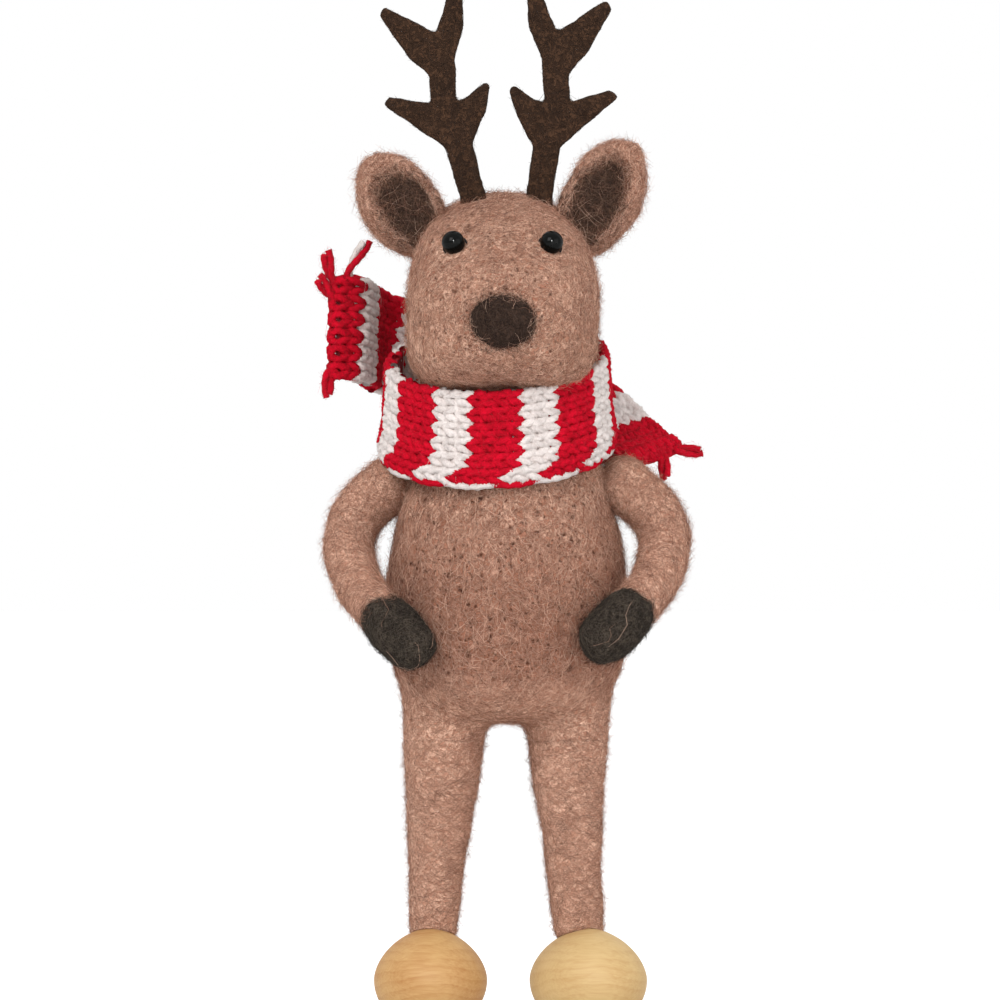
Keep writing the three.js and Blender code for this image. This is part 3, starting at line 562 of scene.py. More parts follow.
def loft(rings: Array, closed: bool = False) -> Shell:
    """A skin over rings of points.

    Args:
        rings: Points, by ring, by corner.
        closed: Whether the last ring meets the first. Open ends get a cap.

    Returns:
        The closed shell.
    """
    count, corners = rings.shape[:2]
    points = rings.reshape(-1, 3)
    faces: Faces = []
    for ring in range(count if closed else count - 1):
        start, after = ring * corners, (ring + 1) % count * corners
        for corner in range(corners):
            beside = (corner + 1) % corners
            faces.append((start + corner, start + beside, after + beside, after + corner))
    if not closed:
        for start, order in ((0, -1), ((count - 1) * corners, 1)):
            centre = len(points)
            points = np.concatenate((points, rings[start // corners].mean(0, keepdims=True)))
            for corner in range(corners):
                faces.append((start + corner, start + (corner + 1) % corners, centre)[::order])
    return Shell(points, faces)


def turned(radii: Array, heights: Array, corners: int, across: float, deep: float) -> Shell:
    """A form that is turned on an upright axis.

    Args:
        radii: Each ring's share of the full size.
        heights: Each ring's height.
        corners: Points round a ring.
        across: Half the full width.
        deep: Half the full depth.

    Returns:
        The closed shell.
    """
    angles = circle(corners)
    rings = np.broadcast_arrays(
        np.outer(radii, np.cos(angles)) * across,
        np.outer(radii, np.sin(angles)) * deep,
        heights[:, None],
    )
    return loft(np.stack(rings, axis=-1))


def spline(points: Array, samples: int) -> Array:
    """Points evenly spaced along a smooth curve through the given ones.

    Args:
        points: What the curve passes through, any number of columns, the first three being a place.
        samples: How many points come back.

    Returns:
        The sampled rows.
    """
    points = np.asarray(points, float)
    padded = np.concatenate((2 * points[:1] - points[1:2], points, 2 * points[-1:] - points[-2:-1]))
    steps = np.linspace(0, 1, SPLINE_STEPS, endpoint=False)[:, None]
    rows = []
    for a, b, c, d in zip(padded, padded[1:], padded[2:], padded[3:]):
        bend = 2 * a - 5 * b + 4 * c - d
        swing = 3 * (b - c) + d - a
        rows.append(0.5 * (2 * b + (c - a) * steps + bend * steps**2 + swing * steps**3))
    rows = np.concatenate((*rows, points[-1:]))
    runs = run_along(rows[:, :3])
    wanted = np.linspace(0, runs[-1], samples)
    return np.stack([np.interp(wanted, runs, column) for column in rows.T], axis=1)


def run_along(points: Array) -> Array:
    """Lengths from the first point to each."""
    return np.concatenate(((0,), np.cumsum(np.linalg.norm(np.diff(points, axis=0), axis=1))))


def tangents(points: Array) -> Array:
    """The way along a line of points, at each."""
    return unit(np.gradient(points, axis=0))


def limb(line: Array, radii: Array, sides: int = 40) -> Shell:
    """A round limb along a line of points, with a radius at each."""
    along = tangents(line)
    start = np.cross(along, ASKEW)
    first, second = unit(start), unit(np.cross(along, start))
    angles = circle(sides)[None, :, None]
    ring = first[:, None] * np.cos(angles) + second[:, None] * np.sin(angles)
    return loft(line[:, None] + radii[:, None, None] * ring)


def settle(thing: Object) -> Object:
    """Turns what a piece's modifiers make into its plain mesh."""
    graph = bpy.context.evaluated_depsgraph_get()
    mesh = bpy.data.meshes.new_from_object(
        thing.evaluated_get(graph), preserve_all_data_layers=True, depsgraph=graph)
    thing.modifiers.clear()
    thing.data = mesh
    return thing


def points_of(thing: Object) -> Array:
    """A piece's points in the maker's frame."""
    flat = np.empty(len(thing.data.vertices) * 3, np.float32)
    thing.data.vertices.foreach_get("co", flat)
    return flat.reshape(-1, 3).astype(float) / MM - SHIFT


def move_points(thing: Object, points: Array) -> None:
    """Sets a piece's points from the maker's frame."""
    thing.data.vertices.foreach_set("co", ((points + SHIFT) * MM).astype(np.float32).ravel())
    thing.data.update()


def normals_of(thing: Object) -> Array:
    """The way out at each of a piece's points."""
    flat = np.empty(len(thing.data.vertices) * 3, np.float32)
    thing.data.vertex_normals.foreach_get("vector", flat)
    return flat.reshape(-1, 3).astype(float)


def felted(thing: Object, voxel: float, smoothing: int, *lumps: tuple[float, float], seed: int) -> Object:
    """Gives a form an even skin, smooth over joins and edges and uneven as hand felting leaves it.

    Args:
        thing: The form, which may be several shells that overlap.
        voxel: The skin's face size.
        smoothing: Rounds of smoothing.
        lumps: Height and size of each kind of lump.
        seed: Where in the noise the piece lies.

    Returns:
        The same object.
    """
    remesh = thing.modifiers.new("skin", "REMESH")
    remesh.mode = "VOXEL"
    remesh.voxel_size = voxel * MM
    relax = thing.modifiers.new("smooth", "SMOOTH")
    relax.factor = 0.5
    relax.iterations = smoothing
    settle(thing)
    thing.data.shade_smooth()
    points = points_of(thing)
    heights = np.zeros(len(points))
    for height, size in lumps:
        places = points / size + seed * NOISE_STEP
        heights += height * np.array([noise.noise(place) for place in places])
    move_points(thing, points + normals_of(thing) * heights[:, None])
    return thing


def mark(thing: Object, cover: Array | float = 1.0, grain: Array = UP,
         upright: Array | float = 1.0) -> None:
    """Stores on a skin where fibres grow and how they lie.

    Args:
        thing: The skin.
        cover: The share of a full coat, one or one at each point.
        grain: The axis that they are wound round, one or one at each point.
        upright: 0 where they are wound and 1 where they keep to the coat's angle.
    """
    count = len(thing.data.vertices)
    axes = np.broadcast_to(grain, (count, 3))
    for name, shares in ((COVER, cover), (UPRIGHT, upright)):
        values = np.broadcast_to(shares, count).astype(np.float32)
        kept = thing.data.attributes.get(name) or thing.data.attributes.new(name, "FLOAT", "POINT")
        kept.data.foreach_set("value", values)
    kept = thing.data.attributes.get(GRAIN) or thing.data.attributes.new(GRAIN, "FLOAT_VECTOR", "POINT")
    kept.data.foreach_set("vector", axes.astype(np.float32).ravel())


class Lay(Enum):
    """How fibres lie: degrees from winding round the grain, and the spread either way."""

    WOUND = (4.0, 26.0)
    UPRIGHT = (90.0, 70.0)
    ANY = (0.0, 90.0)


@dataclass(frozen=True)
class Coat:
    """One layer of fibres on a skin."""

    density: float  # fibres to a square millimetre
    length: float
    thickness: float
    lift: float  # height that a fibre reaches off the skin
    curl: float  # how far a fibre wanders sideways
    lay: Lay = Lay.ANY
    loose: float = 0.0  # 0 for an arch with both ends in the skin, 1 for a free end
    points: int = 5  # along a fibre
    seed: int = 1


class NodeTool(Graph):
    """A geometry node tree that works on a mesh, with named inputs for its sizes and its finish."""

    def __init__(self, name: str, mesh: str, sizes: tuple[str, ...], counts: tuple[str, ...] = ()) -> None:
        """Starts the tree.

        Args:
            name: The tree's name.
            mesh: What the mesh that it works on is called.
            sizes: Inputs that are lengths, shares or angles.
            counts: Inputs that are whole numbers.
        """
        super().__init__(bpy.data.node_groups.new(name, "GeometryNodeTree"))
        face = self.tree.interface
        kinds = {mesh: "Geometry", **dict.fromkeys(sizes, "Float"), **dict.fromkeys(counts, "Int")}
        self.keys = {}
        for key, kind in (*kinds.items(), ("Finish", "Material")):
            self.keys[key] = face.new_socket(key, in_out="INPUT", socket_type=f"NodeSocket{kind}").identifier
        face.new_socket("Result", in_out="OUTPUT", socket_type="NodeSocketGeometry")
        self.given = self.node("NodeGroupInput")

    def tube(self, line: Wire, corners: int, squash: Triple, taper: Value = 1.0) -> None:
        """Ends the tree in tubes along lines.

        Args:
            line: The lines.
            corners: Points round a tube.
            squash: What its round section is scaled by.
            taper: Its thickness along a line, as a share.
        """
        sockets = {"Resolution": corners, "Radius": self.given.output("Thickness") * 0.5}
        ring = self.node("GeometryNodeCurvePrimitiveCircle", None, sockets)
        section = self.node("GeometryNodeTransform", None, {"Geometry": ring, "Scale": squash})
        sockets = {"Curve": line, "Profile Curve": section, "Scale": taper, "Fill Caps": True}
        tubes = self.node("GeometryNodeCurveToMesh", None, sockets)
        smooth = self.node("GeometryNodeSetShadeSmooth", None, {"Geometry": tubes})
        real = self.node("GeometryNodeRealizeInstances", None, {"Geometry": smooth})
        sockets = {"Geometry": real, "Material": self.given.output("Finish")}
        done = self.node("GeometryNodeSetMaterial", None, sockets)
        end = self.tree.nodes.new("NodeGroupOutput")
        self.tree.links.new(done.socket, end.inputs[0])

    def work(self, name: str, mesh: bpy.types.Mesh, inputs: dict[str, Value]) -> Object:
        """A new piece, which is what the tree makes of a mesh with these inputs."""
        thing = put_in_scene(name, mesh)
        modifier = thing.modifiers.new(self.tree.name, "NODES")
        modifier.node_group = self.tree
        for key, value in inputs.items():
            modifier[self.keys[key]] = value
        return settle(thing)


class Fleece(NodeTool):
    """Grows a coat of fibres over a skin."""

    SIZES = ("Density", "Length", "Thickness", "Lift", "Curl", "Angle", "Spread", "Loose")
    WOUND_SPREAD = 0.35  # share of the spread that fibres keep where they are wound
    SHORTEST = 0.55  # fibre, as a share of the coat's length
    LENGTH_RANGE = 0.9
    LOWEST = 0.25  # fibre, as a share of the coat's lift
    WAVES = 320.0  # to a metre, in the noise that curls the fibres
    WAVE_REACH = 4.0  # of that noise, for each length of curl
    LOT_STEP = 40.0  # how far apart in the noise the fibres lie
    THINNING = 0.6  # of a fibre towards its end

    def __init__(self) -> None:
        """Wires the tree: plant, bend on to the skin, thicken and finish."""
        super().__init__("fleece", "Skin", self.SIZES, ("Points", "Seed"))
        share = self.node("GeometryNodeSplineParameter", output="Factor")
        self.tube(self.laid(share), 3, (1.0, 1.0, 1.0), 1 - share * share * self.THINNING)

    def chance(self, step: int) -> Wire:
        """A random number from 0 to 1 for each fibre."""
        seed = self.given.output("Seed") + step
        return self.node("FunctionNodeRandomValue", {"data_type": "FLOAT"}, {"Seed": seed}, output=1)

    def named(self, name: str, kind: str) -> Wire:
        """A stored attribute."""
        return self.node("GeometryNodeInputNamedAttribute", {"data_type": kind}, {"Name": name})

    def kept(self, shape: Wire, name: str, value: Wire) -> Wire:
        """A shape that holds a number at each point."""
        sockets = {"Geometry": shape, "Name": name, "Value": value}
        settings = {"data_type": "FLOAT", "domain": "POINT"}
        return self.node("GeometryNodeStoreNamedAttribute", settings, sockets)

    def planted(self) -> Wire:
        """A short line for each fibre, laid on the skin at its angle."""
        given = self.given
        density = given.output("Density") * self.named(COVER, "FLOAT")
        sockets = {"Mesh": given.output("Skin"), "Density": density, "Seed": given.output("Seed")}
        spots = self.node("GeometryNodeDistributePointsOnFaces", None, sockets)
        out = spots.output("Normal")
        round_grain = self.vector("CROSS_PRODUCT", self.named(GRAIN, "FLOAT_VECTOR"), out)
        axes = {"primary_axis": "Z", "secondary_axis": "X"}
        sockets = {"Primary Axis": out, "Secondary Axis": round_grain}
        flat = self.node("FunctionNodeAxesToRotation", axes, sockets)
        upright = self.named(UPRIGHT, "FLOAT")
        spread = given.output("Spread") * (self.WOUND_SPREAD + upright * (1 - self.WOUND_SPREAD))
        angle = given.output("Angle") * upright + spread * (self.chance(1) * 2 - 1)
        swing = self.node("FunctionNodeAxisAngleToRotation", None, {"Axis": (0, 0, 1), "Angle": angle})
        sockets = {"Rotation": flat, "Rotate By": swing}
        facing = self.node("FunctionNodeRotateRotation", {"rotation_space": "LOCAL"}, sockets)
        toned = self.kept(self.kept(spots, TONE, self.chance(2)), LOT, self.chance(3))
        line = self.node("GeometryNodeCurvePrimitiveLine", None, {"Start": (-0.5, 0, 0), "End": (0.5, 0, 0)})
        sockets = {"Curve": line, "Count": given.output("Points")}
        bending = self.node("GeometryNodeResampleCurve", None, sockets)
        size = given.output("Length") * (self.chance(4) * self.LENGTH_RANGE + self.SHORTEST)
        sockets = {"Points": toned, "Instance": bending, "Rotation": facing, "Scale": size}
        lines = self.node("GeometryNodeInstanceOnPoints", None, sockets)
        return self.node("GeometryNodeRealizeInstances", None, {"Geometry": lines})

    def laid(self, share: Wire) -> Wire:
        """The planted lines, curled and bent on to the skin. The share is a point's place along its fibre."""
        given = self.given
        lines = self.planted()
        lot = self.named(LOT, "FLOAT")
        here = self.node("GeometryNodeInputPosition")
        sockets = {"Vector": here, "W": lot * self.LOT_STEP, "Scale": self.WAVES, "Detail": 1.0}
        drift = self.node("ShaderNodeTexNoise", {"noise_dimensions": "4D"}, sockets, output="Color")
        either_way = self.vector("SUBTRACT", drift, (0.5, 0.5, 0.5))
        sway = self.vector("SCALE", either_way, scale=given.output("Curl") * self.WAVE_REACH)
        strayed = self.vector("ADD", here, sway)
        skin = given.output("Skin")
        near = self.node("GeometryNodeProximity", None, {"Target": skin, "Source Position": strayed})
        sockets = {"Mesh": skin, "Value": self.node("GeometryNodeInputNormal"), "Sample Position": strayed}
        out = self.node("GeometryNodeSampleNearestSurface", {"data_type": "FLOAT_VECTOR"}, sockets)
        arch = 4 * share * (1 - share)
        rise = arch + (share * share - arch) * given.output("Loose")
        height = given.output("Lift") * (self.LOWEST + lot * (1 - self.LOWEST)) * rise
        over = self.vector("ADD", near, self.vector("SCALE", out, scale=height))
        return self.node("GeometryNodeSetPosition", None, {"Geometry": lines, "Position": over})

    def grow(self, skin: Object, name: str, coat: Coat, finish: Material) -> Object:
        """Grows one coat.

        Args:
            skin: The marked skin that carries the fibres.
            name: The new piece's name.
            coat: How they lie.
            finish: Their material.

        Returns:
            The fibres as a plain mesh.
        """
        angle, spread = (math.radians(value) for value in coat.lay.value)
        lengths = (size * MM for size in (coat.length, coat.thickness, coat.lift, coat.curl))
        sizes = dict(zip(self.SIZES, (coat.density / MM**2, *lengths, angle, spread, coat.loose)))
        counts = {"Points": coat.points, "Seed": coat.seed}
        return self.work(name, skin.data, sizes | counts | {"Finish": finish})


class Spinner(NodeTool):
    """Spins lines into two-ply yarn."""

    TWO_PLY = (1.05, 0.9, 1.0)  # the yarn's section, broader over its two plies

    def __init__(self) -> None:
        """Wires the tree: turn the section along each line, thicken and finish."""
        super().__init__("spinner", "Lines", ("Thickness", "Twist"))
        curve = self.node("GeometryNodeMeshToCurve", None, {"Mesh": self.given.output("Lines")})
        run = self.node("GeometryNodeSplineParameter", output="Length")
        tilt = run / self.given.output("Twist") * (2 * math.pi)
        wound = self.node("GeometryNodeSetCurveTilt", None, {"Curve": curve, "Tilt": tilt})
        self.tube(wound, 8, self.TWO_PLY)

    def spin(self, name: str, lines: list[Array], thickness: float, twist: float,
             finish: Material) -> Object:
        """Spins lines into one piece.

        Args:
            name: The piece's name.
            lines: Points along each yarn.
            thickness: The yarn's diameter.
            twist: Length of one full twist.
            finish: Its material.

        Returns:
            The yarn as a plain mesh.
        """
        starts = np.cumsum([0, *(len(line) for line in lines)])
        edges = [(i, i + 1) for start, end in zip(starts, starts[1:]) for i in range(start, end - 1)]
        mesh = bpy.data.meshes.new(name)
        mesh.from_pydata(((np.concatenate(lines) + SHIFT) * MM).tolist(), edges, [])
        return self.work(name, mesh, {"Thickness": thickness * MM, "Twist": twist * MM, "Finish": finish})


Worn = tuple[str, str]  # the body that a piece rides on, and its material slot


class Workshop:
    """What every sub-assembly uses: the two node trees, the finishes and the way a piece joins the frame."""

    def __init__(self) -> None:
        """Makes the trees."""
        self.fleece = Fleece()
        self.spinner = Spinner()
        self.finishes: dict[str, Material] = {}

    def finish(self, make: Callable[[], Material], key: str) -> Material:
        """A material that is made once and kept under a key."""
        if key not in self.finishes:
            self.finishes[key] = make()
        return self.finishes[key]

    def join(self, thing: Object, body: str, slot: str, *nodes: str) -> None:
        """Rides a piece on a body, hides the solids that it stands for, and reports it."""
        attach(thing, body)
        if nodes:
            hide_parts(*nodes)
        LOG.info("%s on %s, %d faces", thing.name, body, len(thing.data.polygons))

    def grow(self, skin: Object, name: str, coat: Coat, wool: Wool | Yarn, worn: Worn) -> None:
        """Grows one coat over a marked skin, as a named piece. Fibres with a free end are strays."""
        make, kind = (wool.stray, "stray") if coat.loose == 1.0 else (wool.fibre, "fibre")
        finish = self.finish(make, f"{wool.name}_{kind}")
        self.join(self.fleece.grow(skin, name, coat, finish), *worn)

    def fluff(self, skin: Object, wool: Wool | Yarn, worn: Worn, **coats: Coat) -> None:
        """Grows each coat over a marked skin, as a piece named for both."""
        for name, coat in coats.items():
            self.grow(skin, f"{skin.name}_{name}", coat, wool, worn)

    def felt(self, skin: Object, wool: Wool, worn: Worn, node: str, fill: float | None,
             **coats: Coat) -> None:
        """Dresses a marked skin and grows its coats.

        Args:
            skin: The piece.
            wool: What it is felted from.
            worn: Where it belongs.
            node: The solid that it stands for.
            fill: How firmly it is stuffed, or None for a sheet of felt. Not used.
            coats: Its coats of fibres, by name.
        """
        skin.data.materials.clear()
        skin.data.materials.append(self.finish(wool.skin, f"{wool.name}_skin"))
        self.join(skin, *worn, node)
        self.fluff(skin, wool, worn, **coats)


FIGURE = "figure"
BROWN = "brown_wool"
BROWN_FIGURE = (FIGURE, BROWN)
FIRM = 0.95  # how full a felted piece is stuffed
SOFT = 0.9
FOOT_TONES = {
    "left": (srgb(204, 176, 126), srgb(182, 145, 94)),
    "right": (srgb(198, 160, 107), srgb(168, 118, 68)),
}


@dataclass
class Sided:
    """A piece that the figure has on each side."""

    name: str

    @property
    def side(self) -> int:
        """1 on the figure's left, -1 on its right."""
        return SIDES[self.name]


@dataclass
class Foot(Sided):
    """One turned wooden foot: an egg that is cut flat underneath."""

    toe_out: float
    width: float = 19.8
    length: float = 24.0
    height: float = 13.7
    girth_height: float = 4.7
    fullness: float = 1.75  # of the crown's profile, which is an ellipse at 2
    setback: float = 2.5
    stance: float = 26.4
    edge: Triple = (0.35, 0.75, 0.93)  # rings of the sole, as shares of its size
    heart: Triple = (4.0, 0.0, -1.0)  # of the growth rings, from the egg's middle

    @property
    def heading(self) -> Array:
        """The turn from the foot's own axes to the figure's."""
        return turn(UP, self.side * self.toe_out)

    @property
    def middle(self) -> Array:
        """The middle of the egg, on the ground."""
        return self.heading @ np.array((0, -self.setback, 0)) + ACROSS * self.side * self.stance / 2

    def top(self, points: Array) -> Array:
        """The height of the wood under each point, or 0 beside the foot."""
        own = (points - self.middle) @ self.heading
        reach = np.hypot(2 * own[:, 0] / self.width, 2 * own[:, 1] / self.length)
        rise = (1 - np.minimum(reach, 1) ** self.fullness) ** (1 / self.fullness)
        return np.where(reach < 1, self.girth_height + (self.height - self.girth_height) * rise, 0)

    def build(self, shop: Workshop) -> None:
        """Turns the egg and finishes it."""
        crown = self.height - self.girth_height
        sole = -math.asin(self.girth_height / crown)
        lean = np.linspace(sole, math.pi / 2 - POLE, 40)
        power = np.where(lean > 0, 2 / self.fullness, 1.0)
        radii = np.concatenate((np.array(self.edge) * math.cos(sole), np.cos(lean) ** power))
        rise = self.girth_height + crown * signed_power(np.sin(lean), power)
        rise[0] = 0.0
        heights = np.concatenate((np.zeros(len(self.edge)), rise))
        egg = turned(radii, heights, 72, self.width / 2, self.length / 2)
        egg.points = egg.points @ self.heading.T + self.middle
        thing = egg.piece(f"wooden_foot_{self.name}")
        heart = tuple(self.middle + self.heart)
        wood = TurnedWood(f"beech_{self.name}", *FOOT_TONES[self.name], heart=heart)
        thing.data.materials.append(wood.material())
        shop.join(thing, FIGURE, "beech", f"foot_{self.name}")


@dataclass
class Trunk:
    """The torso and the legs, which are felted into one another."""

    feet: dict[str, Foot]
    crotch: float = 49.7
    belly: float = 71.0
    neck: float = 109.7
    belly_width: float = 42.0
    belly_depth: float = 38.6
    neck_width: float = 22.0
    hip_fullness: float = 3.0
    shoulder_slope: float = 1.6
    hip_spread: float = 20.0
    leg_foot: float = 10.2  # height of the leg's end, inside the foot
    leg_root: float = 55.7  # height of the leg's top, inside the torso
    stance_height: float = 6.7  # at which the legs' lines are as far apart as the feet
    spread_height: float = 61.7  # at which they are as far apart as the hips
    ankle_width: float = 8.0
    thigh_width: float = 16.6
    thigh_swell: float = 1.4
    left_bow: float = -0.5  # of a leg, outwards
    right_bow: float = 0.15
    foot_gap: float = 0.12  # between a leg's wool and the wood
    seam: float = 46.5  # height at which legs and torso part
    seam_cover: float = 0.7  # the legs' share of fibres there, where the torso's thinner coat begins
    winding_end: float = 6.0  # under the hip, where the fibres start to stand as the torso's do
    blend: float = 14.0  # height over which one way of lying gives way to the other
    wound_upright: float = 0.5  # the legs' fibres are only half combed round
    voxel: float = 0.75

    @property
    def depth_ratio(self) -> float:
        """The torso's depth over its width."""
        return self.belly_depth / self.belly_width

    def radius(self, height: Array | float) -> Array:
        """Half the torso's width at a height."""
        height = np.asarray(height, float)
        drop = np.clip((self.belly - height) / (self.belly - self.crotch), 0, 1)
        rise = np.clip((height - self.belly) / (self.neck - self.belly), 0, 1)
        below = self.belly_width / 2 * (1 - drop**self.hip_fullness) ** (1 / self.hip_fullness)
        taper = (self.belly_width - self.neck_width) / 2
        return below - taper * rise**self.shoulder_slope

    def torso_shell(self) -> Shell:
        """The turned form of the torso."""
        share = (1 - np.cos(np.linspace(POLE, math.pi, 70))) / 2
        heights = self.crotch + (self.neck - self.crotch) * share
        return turned(self.radius(heights), heights, 80, 1.0, self.depth_ratio)

    def leg_shell(self, foot: Foot) -> Shell:
        """One leg's sleeve, from inside the foot to inside the torso."""
        low = np.array((foot.side * foot.stance / 2, 0, self.stance_height))
        high = np.array((foot.side * self.hip_spread / 2, 0, self.spread_height))
        bow = self.left_bow if foot.side > 0 else self.right_bow
        share = np.linspace(0, 1, 50)
        heights = self.leg_foot + (self.leg_root - self.leg_foot) * share
        line = low + (high - low) * ((heights - low[2]) / (high[2] - low[2]))[:, None]
        line[:, 0] += foot.side * bow * np.sin(math.pi * share)
        widths = self.ankle_width + (self.thigh_width - self.ankle_width) * share**self.thigh_swell
        return limb(line, widths / 2)

    def split(self, whole: Object, name: str, side: int) -> Object:
        """A closed part of the felted form: a leg on one side, or the torso where side is 0."""
        work = bmesh.new()
        work.from_mesh(whole.data)
        cut = Vector((self.seam * UP + SHIFT) * MM)
        everything = [*work.verts, *work.edges, *work.faces]
        bmesh.ops.bisect_plane(work, geom=everything, plane_co=cut, plane_no=UP,
                               clear_inner=side == 0, clear_outer=side != 0)
        beyond = [v for v in work.verts if side * (v.co.x - SHIFT[0] * MM) < 0]
        bmesh.ops.delete(work, geom=beyond, context="VERTS")
        bmesh.ops.holes_fill(work, edges=[edge for edge in work.edges if edge.is_boundary])
        bmesh.ops.triangulate(work, faces=[face for face in work.faces if len(face.verts) > 4])
        mesh = bpy.data.meshes.new(name)
        work.to_mesh(mesh)
        work.free()
        mesh.shade_smooth()
        return put_in_scene(name, mesh)

    def build(self, shop: Workshop, hidden: Callable[[Array], Array]) -> None:
        """Felts the forms together, parts them at the hips and dresses them.

        Args:
            shop: The tools.
            hidden: Tells which points the scarf covers.
        """
        legs = [self.leg_shell(foot) for foot in self.feet.values()]
        form = self.torso_shell().joined(*legs).piece("trunk")
        whole = felted(form, self.voxel, 22, (0.5, 9.0), (0.22, 2.6), seed=1)
        torso = self.split(whole, "torso", 0)
        points = points_of(torso)
        needled = smooth_step((points[:, 2] - HIP + self.winding_end) / self.blend)
        mark(torso, 1.0 - hidden(points), upright=self.wound_upright + (1 - self.wound_upright) * needled)
        shop.felt(torso, BODY_WOOL, BROWN_FIGURE, "torso_felt", FIRM,
                  mat=Coat(0.65, 4.8, 0.075, 0.4, 1.2, Lay.UPRIGHT, seed=3),
                  frost=Coat(0.4, 4.2, 0.055, 0.8, 1.2, seed=30),
                  strays=Coat(1.3, 3.0, 0.05, 1.6, 0.9, loose=1.0, points=3, seed=4))
        for name, foot in self.feet.items():
            leg = self.split(whole, f"leg_wool_{name}", foot.side)
            points = points_of(leg)
            points[:, 2] = np.maximum(points[:, 2], foot.top(points) + self.foot_gap)
            move_points(leg, points)
            below = smooth_step((self.seam - points[:, 2]) / self.blend)
            mark(leg, self.seam_cover + (1 - self.seam_cover) * below, upright=self.wound_upright)
            shop.felt(leg, BODY_WOOL, BROWN_FIGURE, f"leg_{name}", FIRM,
                      mat=Coat(0.8, 4.4, 0.07, 0.35, 1.3, seed=5),
                      frost=Coat(0.8, 4.2, 0.055, 0.6, 1.0, seed=31),
                      strays=Coat(3.6, 3.0, 0.045, 1.6, 1.0, loose=1.0, points=3, seed=6))
        bpy.data.objects.remove(whole)


